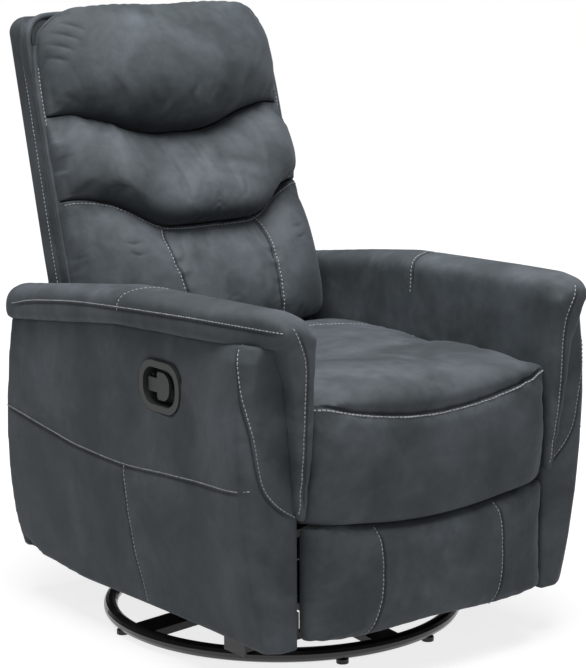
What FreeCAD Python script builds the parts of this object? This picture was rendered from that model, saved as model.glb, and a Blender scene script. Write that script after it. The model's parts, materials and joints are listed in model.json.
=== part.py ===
import FreeCAD, Part
import math
import os

# A swivel glider recliner, in millimetres.
# +Z is up, the chair faces -Y, and its left arm (as seen in the chair) is on +X.
# The origin lies on the floor, under the swivel axis.

# Sizes shared by the steel parts
SHEET = 3.0
LINK_THICK = 4.0
LINK_GAP = 2.0
CLEAR = 0.3
WELD_GAP = 0.2
PIN_PROUD = 0.5

# Flats that stand for round stretches: those of a soft piece, a pin or hole, the bearing and the ring's tube
ARC_STEPS = 6
PIN_SIDES = 12
BEARING_SIDES = 48
RING_SIDES = 12

# Sizes of the floor ring
RING_RADIUS = 318.0
RING_TUBE_RADIUS = 12.5
GLIDE_HEIGHT = 8.0
GLIDE_RADIUS = 11.0
GLIDE_ANGLES = (11.3, 72.3, 107.7, 168.7, 252.3, 287.7)
CROSS_BAR_WIDTH = 58.0
CROSS_BAR_DEPTH = 14.0
CROSS_BAR_RISE = 13.0
CROSS_BAR_OVER_RING = 6.0
CROSS_BAR_LEVEL = 110.0

# Sizes of the swivel
SWIVEL_PLATE = 180.0
SWIVEL_PLATE_THICK = 4.0
SWIVEL_CORNER = 20.0
BEARING_OUTER = 75.0
BEARING_INNER = 56.0
BEARING_HEIGHT = 7.0
PIVOT_BOLT_RADIUS = 8.0
PIVOT_HEAD_RADIUS = 14.0
PIVOT_HEAD_HEIGHT = 6.0

# Sizes of the glider
STAND_X = 150.0
STAND_TOP = 205.0
STAND_HALF_LENGTH = 168.0
STAND_SHOULDER_Z = 170.0
STAND_FOOT = 30.0
STAND_FOOT_HALF = 85.0
STAND_WINDOW = ((-30, 90, 8), (30, 90, 8), (50, 160, 8), (-50, 160, 8))
TIE_RADIUS = 8.0
TIE_Y = 95.0
GLIDE_PIVOT_Y = 140.0
GLIDE_PIVOT_Z = 190.0
GLIDE_LINK_LENGTH = 110.0
GLIDE_LINK_WIDTH = 26.0
PIN_RADIUS = 5.0

# Sizes of the chassis that hangs on the glider
RAIL_HEIGHT = 38.0
RAIL_FRONT_Y = -265.0
RAIL_REAR_Y = 262.0
RAIL_FLANGE = 24.0
RAIL_DROP = 24.0
CROSS_TUBE = 18.0
CROSS_TUBE_WALL = 2.0
FRONT_TUBE_Y = -253.0
FRONT_TUBE_HEIGHT = 12.0
REAR_TUBE_Y = 246.0
MOUNT_PLATE = 4.0
MOUNT_PLATE_LENGTH = 60.0
MOUNT_PLATE_CORNER = 6.0
FRONT_PLATE_TOP_Z = 160.0
REAR_PLATE_TOP_Z = 180.0
RECLINER_PLATE_TOP_Z = 172.0
RECLINER_PLATE_LOW_Z = 112.0

# Sizes of the backrest; s runs up the leaning rear face and w runs forward from it
SHELL_HALF_WIDTH = 276.0
SHELL_WALL = 8.0
SHELL_DEPTH = 40.0
SHELL_BOTTOM_Z = 330.0
SHELL_SHOULDER_Z = 650.0
SHELL_TAPER = 8.0
SHELL_CORNER = 46.0
BACK_PIVOT_Y = 215.0
BACK_PIVOT_Z = 350.0
BACK_FOOT_Y = 352.0
BACK_FOOT_Z = 598.0
BACK_LEAN = 16.1
BACK_TOP_S = 500.0
BACK_HEM_S = -150.0
UPRIGHT_THICK = 22.0
UPRIGHT_INSET = 8.0
UPRIGHT_LOW_S = -215.0
UPRIGHT_TOP_S = 460.0
BACK_RAIL_WIDTH = 50.0
BOTTOM_RAIL_WIDTH = 38.0
BOTTOM_RAIL_THICK = 15.0
DECK_THICK = 18.0
DECK_LOW_S = -112.0
DECK_TOP_S = 484.0

# The three back pillows, as rows of (x, low seam s, high seam s, low seam w) from the middle outwards
SEAM_DRAW = 0.08
HEAD_ROWS = ((105, 256, 497, 92), (215, 296, 486, 82), (262, 320, 462, 66))
HEAD_RISE = 0.085
HEAD_BELLY = 0.26
LUMBAR_ROWS = ((105, 70, 256, 150), (215, 132, 296, 120), (270, 154, 284, 106))
LUMBAR_RISE = -0.3
LUMBAR_BELLY = 0.32
LOWER_ROWS = ((105, -146, 70, 178), (215, -136, 132, 152), (274, -108, 116, 108))
LOWER_RISE = -0.13
LOWER_BELLY = 0.2

# Sizes of the arms
ARM_GAP = 14.0
ARM_PANEL_REAR_GAP = 7.0
ARM_FRAME_THICK = 26.0
ARM_FRAME_LOW_Z = 95.0
ARM_FRONT_PAD = 18.0
ARM_FRONT_Y = -406.0
ARM_REAR_Y = 405.0
ARM_WRAP = 31.0
ARM_BOTTOM_Z = 88.0
ARM_REAR_LIFT = 6.0
ARM_BULGE_Z = 350.0
ARM_FOOT_TUCK = 34.0
ARM_HEAD_TUCK = 14.0
CREASE_FRONT_Z = 600.0
CREASE_MID_Z = 584.0
CREASE_REAR_Z = 533.0
SKIRT_TOP_Z = 372.0
SKIRT_THICK = 15.0
SKIRT_INSET = 5.0

# Arm panel sections, as rows of (y, outwards from the plywood, drawn in at the edge)
ARM_ROWS = ((-406, 36, 12), (-392, 40, 0), (0, 48, 0), (130, 49, 0), (387, 32, 0), (405, 26, 12))

# Arm pad sections, as rows of (y, inwards less than at the front, outwards, underside, top above the crease)
PAD_ROWS = ((-452, 24, 22, 12, 24), (-434, 5, 37, 3, 40), (-390, 0, 46, 1, 48), (0, 0, 49, 1, 54),
            (130, 17, 48, 1, 56), (380, 17, 32, 1, 56), (402, 26, 20, 8, 38))
PAD_ROUND = 0.42
PAD_CROWN = 4.0
PAD_OVERHANG = 26.0
PAD_NARROWING = 17.0
LINING_FRONT_Y = -436.0
LINING_REAR_Y = 300.0
LINING_BOTTOM_Z = 440.0
DRAPE_BOTTOM_Z = 309.0
DRAPE_TOP_Z = 620.0
DRAPE_FRONT = ((0, 620), (2, 309, 3), (13, 306, 3), (26, 440), (36, 540), (60, 600), (68, 620))
DRAPE_SIDE = ((-452, 622), (-446, 560), (-440, 440), (-424, 300, 5))

# Sizes of the release handle in the right arm
HANDLE_Y = -142.0
HANDLE_Z = 495.0
BEZEL_LENGTH = 120.0
BEZEL_HEIGHT = 88.0
BEZEL_RIM = 12.0
BEZEL_DEPTH = 26.0
BEZEL_WALL = 3.0
BEZEL_PROUD = 3.0
BEZEL_FACE = 42.0
BEZEL_FIT = 0.5
PADDLE_THICK = 6.0
PADDLE_NECK_HALF = 12.0
PADDLE_HEAD_HALF = 24.0
PADDLE_HEAD_FRONT = 22.0
PADDLE_HEAD_REAR = 14.0
PADDLE_OFFSET = 6.0
PADDLE_PIN_RADIUS = 2.5
PADDLE_KNUCKLE_RADIUS = 5.0

# Sizes of the seat and the links that carry it forward
SEAT_LINK_LENGTH = 110.0
SEAT_LINK_LEAN = 16.0
SEAT_LINK_FRONT_Y = -120.0
SEAT_LINK_REAR_Y = 110.0
SEAT_LINK_BASE_Z = 150.0
SEAT_LINK_WIDTH = 26.0
SEAT_DECK_Z = 328.0
SEAT_REAR_Y = 185.0
SEAT_REAR_DROP = 14.0
SEAT_RAIL_FRONT_Y = -400.0
SEAT_RAIL_THICK = 22.0
SEAT_RAIL_HEIGHT = 32.0
SEAT_REAR_RAIL_Y = 130.0
SEAT_ROLL = 48.0
SEAT_REAR_ROLL = 40.0
SEAT_CROWN = 5.0
STRAP_WIDTH = 50.0
STRAP_THICK = 2.0
STRAP_PLACES = (-150, -75, 0, 75, 150)

# Seat cushion sections, as rows of (x, hem, front, top) from the middle outwards
SEAT_ROWS = ((0, 275, -447, 510), (150, 286, -445, 509), (240, 295, -440, 506), (260, 297, -428, 494))

# Sizes of the footrest linkage
LEG_PIVOT_Y = -262.0
LEG_PIVOT_Z = 268.0
FOOT_PIVOT_Y = -362.0
FOOT_PIVOT_Z = 262.0
FRONT_LINK_LENGTH = 240.0
FRONT_LINK_ANGLE = 35.0
FRONT_LINK_TAIL = 42.0
REAR_LINK_TIP = 22.0
BRACE_ARM = 27.5
BRACE_ARM_ANGLE = -108.5
LEG_LINK_WIDTH = 18.0
LEG_PIN_RADIUS = 4.0
LEG_OPEN_ANGLE = -5.0
BRACE_SLACK = 3.4
BRACE_EYE_WALL = 5.0
TORQUE_BAR_RADIUS = 9.0

# Sizes of the footrest's board and pad
FOOT_BOARD_Y = -380.0
FOOT_BOARD_THICK = 12.0
FOOT_BOARD_HALF = 248.0
FOOT_BOARD_LOW_Z = 104.0
FOOT_BOARD_TOP_Z = 262.0
BRACKET_LOW_Z = 130.0
BRACKET_FLANGE_TOP_Z = 245.0
BRACKET_FLANGE = 22.0
FOOT_PAD_ROUND = 12.0
FOOT_PAD_CROWN = 7.0

# Footrest pad sections, as rows of (x, bottom, top, front) from the middle outwards
FOOT_ROWS = ((0, 92, 270, -433), (140, 92, 280, -431), (250, 95, 291, -424), (260, 104, 282, -412))

# Corners, knees and lugs of the steel plates
PLATE_CORNER = 20
LINING_RISE = 20
SEAT_LUG = 22
SEAT_LUG_LOW_Z = 325
SEAT_LUG_FRONT_Y = 196
SEAT_PLATE_BELLY = ((-300, 246), (-240, 222, 10), (160, 232, 15))
BRACKET_TOP_S = -60
BRACKET_BEND_S = -125
BRACKET_EYE = ((-264, 82, 16), (-298, 66, 16))
BRACKET_FOOT_S = -272
SHELL_FOOT_REACH = 96
SHELL_FOOT_RISE = 70
THROUGH_BACK = 700

RING_Z = GLIDE_HEIGHT + RING_TUBE_RADIUS
BAR_TOP_Z = RING_Z + CROSS_BAR_OVER_RING + CROSS_BAR_RISE
BEARING_Z = BAR_TOP_Z + SWIVEL_PLATE_THICK
TABLE_Z = BEARING_Z + BEARING_HEIGHT + CLEAR
TABLE_TOP_Z = TABLE_Z + SWIVEL_PLATE_THICK
GLIDE_LINK_X = STAND_X + SHEET + LINK_GAP
RAIL_X = GLIDE_LINK_X + LINK_THICK + LINK_GAP + 1.0
RAIL_PIN_Z = GLIDE_PIVOT_Z - GLIDE_LINK_LENGTH
RAIL_BOTTOM_Z = RAIL_PIN_Z - RAIL_DROP
RAIL_TOP_Z = RAIL_BOTTOM_Z + RAIL_HEIGHT
UPRIGHT_X = SHELL_HALF_WIDTH - SHELL_WALL - UPRIGHT_INSET - UPRIGHT_THICK
DECK_HALF_WIDTH = SHELL_HALF_WIDTH - SHELL_WALL - SHEET
SEAT_LINK_X = UPRIGHT_X - LINK_THICK - 1.0
SEAT_PLATE_X = SEAT_LINK_X - LINK_GAP - SHEET
LEG_BRACE_X = SEAT_PLATE_X - LINK_GAP - LINK_THICK
LEG_A_X = LEG_BRACE_X - LINK_GAP - LINK_THICK
LEG_B_X = LEG_A_X - LINK_GAP - LINK_THICK
BASE_PLATE_X = SEAT_LINK_X + LINK_THICK + LINK_GAP
ARM_FRAME_INNER_X = SHELL_HALF_WIDTH + ARM_GAP
ARM_CORE_X = ARM_FRAME_INNER_X + ARM_FRAME_THICK
ARM_FRONT_INNER_X = ARM_FRAME_INNER_X - ARM_FRONT_PAD
ARM_REAR_INNER_X = SHELL_HALF_WIDTH + ARM_PANEL_REAR_GAP
PAD_INNER_X = ARM_FRAME_INNER_X - PAD_OVERHANG
TUBE_END_X = ARM_FRAME_INNER_X - MOUNT_PLATE
LEAN_SIN = math.sin(math.radians(BACK_LEAN))
LEAN_COS = math.cos(math.radians(BACK_LEAN))
PLANES = {
    "xy": lambda a, b, at: FreeCAD.Vector(a, b, at),
    "xz": lambda a, b, at: FreeCAD.Vector(a, at, b),
    "yz": lambda a, b, at: FreeCAD.Vector(at, a, b),
}
NORMALS = {
    "xy": FreeCAD.Vector(0, 0, 1),
    "xz": FreeCAD.Vector(0, 1, 0),
    "yz": FreeCAD.Vector(1, 0, 0),
}


def area_sign(points):
    """+1 if the outline turns anticlockwise in its own two axes, otherwise -1."""
    total = 0.0
    for index, point in enumerate(points):
        after = points[(index + 1) % len(points)]
        total += point[0] * after[1] - after[0] * point[1]
    return 1.0 if total > 0 else -1.0


def outline(points, plane, at):
    """A closed wire through corners (a, b, radius, bulge): lines and arcs only.

    The radius rounds the corner. The bulge is how far the edge that leaves the corner swells outwards.
    """
    place = PLANES[plane]
    corners = [tuple(point) + (0.0,) * (4 - len(point)) for point in points]
    side = area_sign(corners)
    starts = []
    ends = []
    arcs = []
    for index, (a, b, radius, bulge) in enumerate(corners):
        before = corners[index - 1]
        after = corners[(index + 1) % len(corners)]
        into = FreeCAD.Vector(a - before[0], b - before[1], 0).normalize()
        out = FreeCAD.Vector(after[0] - a, after[1] - b, 0).normalize()
        turn = into.getAngle(out)
        here = FreeCAD.Vector(a, b, 0)
        if radius > 0 and turn > 0.01:
            reach = radius * math.tan(turn / 2)
            first = here - into * reach
            last = here + out * reach
            inward = (out - into).normalize()
            middle = here + inward * (radius / math.cos(turn / 2) - radius)
            arcs.append((first, middle, last))
            starts.append(first)
            ends.append(last)
        else:
            arcs.append(None)
            starts.append(here)
            ends.append(here)
    edges = []
    for index, corner in enumerate(corners):
        after = (index + 1) % len(corners)
        if arcs[index]:
            first, middle, last = [place(p.x, p.y, at) for p in arcs[index]]
            edges.append(Part.Arc(first, middle, last).toShape())
        begin = ends[index]
        finish = starts[after]
        if corner[3]:
            run = (finish - begin).normalize()
            outwards = FreeCAD.Vector(run.y, -run.x, 0) * side
            middle = (begin + finish) * 0.5 + outwards * corner[3]
            points3 = [place(p.x, p.y, at) for p in (begin, middle, finish)]
            edges.append(Part.Arc(*points3).toShape())
        else:
            edges.append(Part.makeLine(place(begin.x, begin.y, at), place(finish.x, finish.y, at)))
    return Part.Wire(edges)


def prism(points, plane, start, end):
    """The outline as a solid between two values of the axis that the plane leaves out."""
    face = Part.Face(outline(points, plane, start))
    return face.extrude(NORMALS[plane] * (end - start))


def block(x0, x1, y0, y1, z0, z1):
    """A box given by its two corners."""
    return Part.makeBox(x1 - x0, y1 - y0, z1 - z0, FreeCAD.Vector(x0, y0, z0))


def circle_corners(radius, a, b, sides):
    """A circle as a regular outline with its corners on the circle and a flat at the bottom."""
    corners = []
    for side in range(sides):
        angle = 2 * math.pi * (side + 0.5) / sides
        corners.append((a + radius * math.cos(angle), b + radius * math.sin(angle)))
    return corners


def rod(radius, x0, x1, y, z):
    """A round bar along X."""
    return prism(circle_corners(radius, y, z, PIN_SIDES), "yz", x0, x1)


def bore(radius, x0, x1, y, z):
    """The room for a hole along X, which clears a round pin of the same radius."""
    return rod(radius / math.cos(math.pi / PIN_SIDES), x0, x1, y, z)


def post(radius, z0, z1, x=0.0, y=0.0, sides=PIN_SIDES):
    """A round bar along Z."""
    return prism(circle_corners(radius, x, y, sides), "xy", z0, z1)


def link(first, last, width, x0, holes=(), hole_radius=0.0):
    """A flat link with round ends in the YZ plane, with a hole at each point given."""
    y0, z0 = first
    y1, z1 = last
    length = math.hypot(y1 - y0, z1 - z0)
    half = width / 2
    along = FreeCAD.Vector(0, (y1 - y0) / length, (z1 - z0) / length)
    across = FreeCAD.Vector(0, -along.z, along.y)
    start = FreeCAD.Vector(x0, y0, z0)
    end = FreeCAD.Vector(x0, y1, z1)
    edges = [
        Part.makeLine(start + across * half, end + across * half),
        Part.Arc(end + across * half, end + along * half, end - across * half).toShape(),
        Part.makeLine(end - across * half, start - across * half),
        Part.Arc(start - across * half, start - along * half, start + across * half).toShape(),
    ]
    solid = Part.Face(Part.Wire(edges)).extrude(FreeCAD.Vector(LINK_THICK, 0, 0))
    for y, z in holes:
        solid = solid.cut(bore(hole_radius, x0, x0 + LINK_THICK, y, z))
    return solid


def soft_loft(wires):
    """A closed solid through wires of lines and arcs, with each arc taken in a few straight steps."""
    sections = []
    for wire in wires:
        points = []
        for edge in wire.OrderedEdges:
            steps = ARC_STEPS if isinstance(edge.Curve, Part.Circle) else 1
            run = edge.discretize(steps + 1)
            if edge.Orientation == "Reversed":
                run.reverse()
            points += run[:-1]
        sections.append(Part.makePolygon(points + points[:1]))
    return Part.makeLoft(sections, True, True)


def mirrored(solid):
    """The same piece on the other side of the chair."""
    return solid.mirror(FreeCAD.Vector(0, 0, 0), FreeCAD.Vector(1, 0, 0))


def pair(solids):
    """Pieces and their mirror images, as one shape of separate solids."""
    return Part.makeCompound(solids + [mirrored(solid) for solid in solids])


def both_sides(rows):
    """Rows from the middle outwards, as rows across the whole width."""
    left = [(-row[0],) + tuple(row[1:]) for row in reversed(rows) if row[0]]
    return left + [tuple(row) for row in rows]


def polar(y, z, length, angle):
    """The point at a distance from (y, z), with the angle raised from straight ahead."""
    return y - length * math.cos(math.radians(angle)), z + length * math.sin(math.radians(angle))


def from_back(s, w):
    """(y, z) of a point s up the backrest's rear face and w in front of it."""
    return (BACK_FOOT_Y + LEAN_SIN * s - LEAN_COS * w, BACK_FOOT_Z + LEAN_COS * s + LEAN_SIN * w)


def crease_z(y):
    """Height of the seam between an arm's side and its pad."""
    if y < 0:
        return CREASE_MID_Z + (CREASE_FRONT_Z - CREASE_MID_Z) * y / ARM_FRONT_Y
    return CREASE_MID_Z + (CREASE_REAR_Z - CREASE_MID_Z) * y / ARM_REAR_Y


def save(node, shape):
    """Writes one named piece."""
    shape.exportStep(os.path.join("parts", node + ".step"))


def save_both(side_node, shape):
    """Writes a piece of the left side and its mirror image on the right."""
    save(side_node + "_left", shape)
    save(side_node + "_right", mirrored(shape))


def ring_shape(grow):
    """The floor ring's tube with flats all round, made fatter by the amount given."""
    reach = (RING_TUBE_RADIUS + grow) / math.cos(math.pi / RING_SIDES)
    section = Part.Face(outline(circle_corners(reach, RING_RADIUS, RING_Z, RING_SIDES), "xz", 0))
    return section.revolve(FreeCAD.Vector(0, 0, 0), FreeCAD.Vector(0, 0, 1), 360)


def build_floor_ring():
    """The round tube on the floor, its glides and the pressed cross bars welded inside it."""
    save("base_ring", ring_shape(0))
    glides = []
    for angle in GLIDE_ANGLES:
        x = RING_RADIUS * math.cos(math.radians(angle))
        y = RING_RADIUS * math.sin(math.radians(angle))
        glides.append(post(GLIDE_RADIUS, 0, GLIDE_HEIGHT, x, y))
    save("base_glides", Part.makeCompound(glides))

    seat_of_weld = ring_shape(WELD_GAP)
    half = CROSS_BAR_WIDTH / 2
    low = BAR_TOP_Z - CROSS_BAR_RISE
    crest = [(-RING_RADIUS, low), (-CROSS_BAR_LEVEL, BAR_TOP_Z),
             (CROSS_BAR_LEVEL, BAR_TOP_Z), (RING_RADIUS, low)]
    under = [(y, z - CROSS_BAR_DEPTH) for y, z in reversed(crest)]
    bar = prism(crest + under, "yz", -half, half)
    hollow = prism(crest + under, "yz", SHEET - half, half - SHEET)
    hollow.translate(FreeCAD.Vector(0, 0, -SHEET))
    channel = bar.cut(hollow).cut(seat_of_weld)
    save("base_cross_bar_long", channel)
    turned = channel.copy()
    turned.rotate(FreeCAD.Vector(0, 0, 0), FreeCAD.Vector(0, 0, 1), 90)
    turned = turned.cut(block(-half, half, -CROSS_BAR_WIDTH, CROSS_BAR_WIDTH, 0, 2 * BAR_TOP_Z))
    save("base_cross_bar_short", Part.makeCompound(turned.Solids))


def square(half_x, half_y, corner):
    """A level plate's outline with rounded corners."""
    return [(-half_x, -half_y, corner), (half_x, -half_y, corner),
            (half_x, half_y, corner), (-half_x, half_y, corner)]


def build_swivel():
    """The bearing between the floor ring and the glider stands."""
    half = SWIVEL_PLATE / 2
    save("swivel_lower_plate", prism(square(half, half, SWIVEL_CORNER), "xy", BAR_TOP_Z, BEARING_Z))
    race_top = BEARING_Z + BEARING_HEIGHT
    race = post(BEARING_OUTER, BEARING_Z, race_top, sides=BEARING_SIDES)
    race = race.cut(post(BEARING_INNER, BEARING_Z, race_top, sides=BEARING_SIDES))
    save("swivel_bearing_ring", race)
    head_z = TABLE_TOP_Z + CLEAR
    bolt = post(PIVOT_BOLT_RADIUS, BEARING_Z, head_z)
    head = post(PIVOT_HEAD_RADIUS, head_z, head_z + PIVOT_HEAD_HEIGHT)
    save("swivel_pivot_bolt", bolt.fuse(head).removeSplitter())

    table = prism(square(STAND_X - 2, half, SWIVEL_CORNER - 5), "xy", TABLE_Z, TABLE_TOP_Z)
    bolt_hole = (PIVOT_BOLT_RADIUS + CLEAR) / math.cos(math.pi / PIN_SIDES)
    save("swivel_upper_plate", table.cut(post(bolt_hole, TABLE_Z, TABLE_TOP_Z)))


def build_glider():
    """Two stands on the swivel, and four links that hang the chair from them."""
    half = SWIVEL_PLATE / 2
    end = STAND_HALF_LENGTH
    web_outline = [(-half, TABLE_TOP_Z), (half, TABLE_TOP_Z),
                   (end, STAND_SHOULDER_Z, PLATE_CORNER), (end, STAND_TOP, PLATE_CORNER),
                   (-end, STAND_TOP, PLATE_CORNER), (-end, STAND_SHOULDER_Z, PLATE_CORNER)]
    web = prism(web_outline, "yz", STAND_X, STAND_X + SHEET)
    web = web.cut(prism(STAND_WINDOW, "yz", STAND_X, STAND_X + SHEET))
    foot = block(STAND_X - STAND_FOOT, STAND_X + 1, -STAND_FOOT_HALF, STAND_FOOT_HALF, TABLE_TOP_Z,
                 TABLE_TOP_Z + SHEET)
    save_both("glider_stand", web.fuse(foot).removeSplitter())
    ties = []
    for y in (-TIE_Y, TIE_Y):
        ties.append(rod(TIE_RADIUS, -STAND_X, STAND_X, y, GLIDE_PIVOT_Z - PIN_RADIUS))
    save("glider_stand_ties", Part.makeCompound(ties))
    pins = []
    for y, node in ((-GLIDE_PIVOT_Y, "glide_front_links"), (GLIDE_PIVOT_Y, "glide_rear_links")):
        pins.append(rod(PIN_RADIUS, STAND_X + SHEET, RAIL_X - 1, y, GLIDE_PIVOT_Z))
        ends = ((y, GLIDE_PIVOT_Z), (y, RAIL_PIN_Z))
        save(node, pair([link(ends[0], ends[1], GLIDE_LINK_WIDTH, GLIDE_LINK_X, ends, PIN_RADIUS + CLEAR)]))
    save("glider_upper_pins", pair(pins))


def build_chassis():
    """The steel frame that hangs on the glide links and carries arms, seat links and skirt."""
    web = block(RAIL_X, RAIL_X + SHEET, RAIL_FRONT_Y, RAIL_REAR_Y, RAIL_BOTTOM_Z, RAIL_TOP_Z)
    flange = block(RAIL_X, RAIL_X + RAIL_FLANGE, RAIL_FRONT_Y, RAIL_REAR_Y, RAIL_TOP_Z - SHEET, RAIL_TOP_Z)
    rail = [web.fuse(flange).removeSplitter()]
    for y in (-GLIDE_PIVOT_Y, GLIDE_PIVOT_Y):
        rail.append(rod(PIN_RADIUS, GLIDE_LINK_X - PIN_PROUD, RAIL_X, y, RAIL_PIN_Z))
    save_both("hanger_rail", Part.makeCompound(rail))

    front_low = RAIL_BOTTOM_Z - FRONT_TUBE_HEIGHT
    half = CROSS_TUBE / 2
    wall = CROSS_TUBE_WALL
    for node, y, low, height in (("chassis_tube_front", FRONT_TUBE_Y, front_low, FRONT_TUBE_HEIGHT),
                                 ("chassis_tube_rear", REAR_TUBE_Y, RAIL_TOP_Z, CROSS_TUBE)):
        tube = block(-TUBE_END_X, TUBE_END_X, y - half, y + half, low, low + height)
        inside = half - wall
        hollow = block(-TUBE_END_X, TUBE_END_X, y - inside, y + inside, low + wall, low + height - wall)
        save(node, tube.cut(hollow))
    plates = []
    reach = MOUNT_PLATE_LENGTH / 2
    corner = MOUNT_PLATE_CORNER
    for y, low, high in ((FRONT_TUBE_Y, front_low, FRONT_PLATE_TOP_Z),
                         (REAR_TUBE_Y, RAIL_TOP_Z, REAR_PLATE_TOP_Z)):
        plate_outline = [(y - reach, low), (y + reach, low),
                         (y + reach, high, corner), (y - reach, high, corner)]
        plates.append(prism(plate_outline, "yz", TUBE_END_X, ARM_FRAME_INNER_X))
    save("arm_mount_plates", pair(plates))

    rear_low = RAIL_TOP_Z + CROSS_TUBE
    top = RECLINER_PLATE_TOP_Z
    base_outline = [(FRONT_TUBE_Y - half, RAIL_BOTTOM_Z), (FRONT_TUBE_Y + half, RAIL_BOTTOM_Z),
                    (SEAT_LINK_FRONT_Y - 40, rear_low, PLATE_CORNER), (REAR_TUBE_Y - half, rear_low),
                    (RAIL_REAR_Y, rear_low),
                    (RAIL_REAR_Y, rear_low + 24, 10), (SEAT_LINK_REAR_Y + 20, top, 25),
                    (SEAT_LINK_FRONT_Y - 25, top, 25), (FRONT_TUBE_Y - half, RAIL_BOTTOM_Z + 44)]
    base_plate = [prism(base_outline, "yz", BASE_PLATE_X, BASE_PLATE_X + SHEET)]
    for y in (SEAT_LINK_FRONT_Y, SEAT_LINK_REAR_Y):
        base_plate.append(rod(PIN_RADIUS, SEAT_LINK_X - PIN_PROUD, BASE_PLATE_X, y, SEAT_LINK_BASE_Z))
    save_both("recliner_plate", Part.makeCompound(base_plate))


def arm_section(y, out, narrow):
    """One cross section of an arm's outer panel: narrow at the floor, widest at half height."""
    widest = ARM_CORE_X + out - narrow
    place = PLANES["xz"]
    low = ARM_BOTTOM_Z + (ARM_REAR_LIFT if y > 300 else 0.0)
    high = crease_z(y)
    inner_low = place(ARM_FRONT_INNER_X, low, y)
    outer_low = place(widest - ARM_FOOT_TUCK, low, y)
    bulge = place(widest, ARM_BULGE_Z, y)
    outer_high = place(widest - ARM_HEAD_TUCK, high, y)
    inner_high = place(ARM_FRONT_INNER_X, high, y)
    edges = [Part.makeLine(inner_low, outer_low), Part.Arc(outer_low, bulge, outer_high).toShape(),
             Part.makeLine(outer_high, inner_high), Part.makeLine(inner_high, inner_low)]
    return Part.Wire(edges)


def handle_outline(grow):
    """The release handle's oval, as outline corners in the YZ plane."""
    half_y = BEZEL_LENGTH / 2 + grow
    half_z = BEZEL_HEIGHT / 2 + grow
    low = HANDLE_Z - half_z
    high = HANDLE_Z + half_z
    round_radius = half_z * 0.86
    return [(HANDLE_Y - half_y, low, round_radius), (HANDLE_Y + half_y, low, round_radius),
            (HANDLE_Y + half_y, high, round_radius), (HANDLE_Y - half_y, high, round_radius)]


def build_arm_sides():
    """Plywood sides and the padded outer panels wrapped round them, with a skirt across the rear."""
    front_y = ARM_FRONT_Y + ARM_WRAP
    rear_y = ARM_REAR_Y - ARM_WRAP
    frame_outline = [(front_y, ARM_FRAME_LOW_Z), (rear_y, ARM_FRAME_LOW_Z), (rear_y, crease_z(rear_y)),
                     (0, CREASE_MID_Z), (front_y, crease_z(front_y))]
    save_both("arm_frame", prism(frame_outline, "yz", ARM_FRAME_INNER_X, ARM_CORE_X))

    panel = soft_loft([arm_section(*row) for row in ARM_ROWS])
    room_for_frame = block(ARM_FRONT_INNER_X, ARM_CORE_X, front_y, rear_y, 0, CREASE_FRONT_Z)
    rear_trim = block(ARM_FRONT_INNER_X, ARM_REAR_INNER_X, 0, ARM_REAR_Y, 0, CREASE_FRONT_Z)
    panel = panel.cut(room_for_frame).cut(rear_trim)
    save("arm_panel_left", panel)
    pocket = prism(handle_outline(0), "yz", -ARM_CORE_X - 2 * BEZEL_FACE, -ARM_CORE_X + 1)
    save("arm_panel_right", mirrored(panel).cut(pocket))

    half = ARM_REAR_INNER_X
    skirt_rear = ARM_REAR_Y - SKIRT_INSET
    skirt_front = skirt_rear - SKIRT_THICK
    save("rear_skirt_panel", block(-half, half, skirt_front, skirt_rear, ARM_BOTTOM_Z, SKIRT_TOP_Z))


def build_arm_pads():
    """The pillow tops of the arms, with the lining inside them and the drape down their fronts."""
    wires = []
    for y, inset, out, rise, height in PAD_ROWS:
        inner = PAD_INNER_X + inset
        outer = ARM_CORE_X + out
        low = crease_z(y) + rise
        high = crease_z(y) + height
        round_radius = (high - low) * PAD_ROUND
        corners = [(inner, low), (outer, low),
                   (outer, high, round_radius, PAD_CROWN), (inner, high, round_radius)]
        wires.append(outline(corners, "xz", y))
    pillow = soft_loft(wires)

    ramp_start = (PAD_INNER_X, PAD_ROWS[3][0])
    ramp_end = (PAD_INNER_X + PAD_NARROWING, PAD_ROWS[4][0])
    plan = [(PAD_INNER_X, LINING_FRONT_Y), (ARM_FRAME_INNER_X, LINING_FRONT_Y),
            (ARM_FRAME_INNER_X, LINING_REAR_Y), (ramp_end[0], LINING_REAR_Y), ramp_end, ramp_start]
    side = [(LINING_FRONT_Y, LINING_BOTTOM_Z), (LINING_REAR_Y, LINING_BOTTOM_Z),
            (LINING_REAR_Y, crease_z(LINING_REAR_Y) + LINING_RISE), (0, CREASE_MID_Z + LINING_RISE),
            (LINING_FRONT_Y, crease_z(LINING_FRONT_Y) + LINING_RISE)]
    lining = prism(plan, "xy", LINING_BOTTOM_Z, DRAPE_TOP_Z).common(
        prism(side, "yz", PAD_INNER_X, ARM_FRAME_INNER_X))
    panel_room = block(ARM_FRONT_INNER_X, ARM_FRAME_INNER_X, ARM_FRONT_Y - CLEAR,
                       ARM_FRONT_Y + ARM_WRAP + CLEAR, 0, CREASE_FRONT_Z + 1)

    front = [(PAD_INNER_X + row[0],) + row[1:] for row in DRAPE_FRONT]
    side = list(DRAPE_SIDE) + [(ARM_FRONT_Y - CLEAR, 300), (ARM_FRONT_Y - CLEAR, DRAPE_SIDE[0][1])]
    drape = prism(front, "xz", DRAPE_SIDE[0][0] - 1, ARM_FRONT_Y - CLEAR).common(
        prism(side, "yz", PAD_INNER_X - 1, ARM_CORE_X + BEZEL_FACE))
    save_both("arm_pad", pillow.fuse([lining.cut(panel_room), drape]).removeSplitter())


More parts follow.
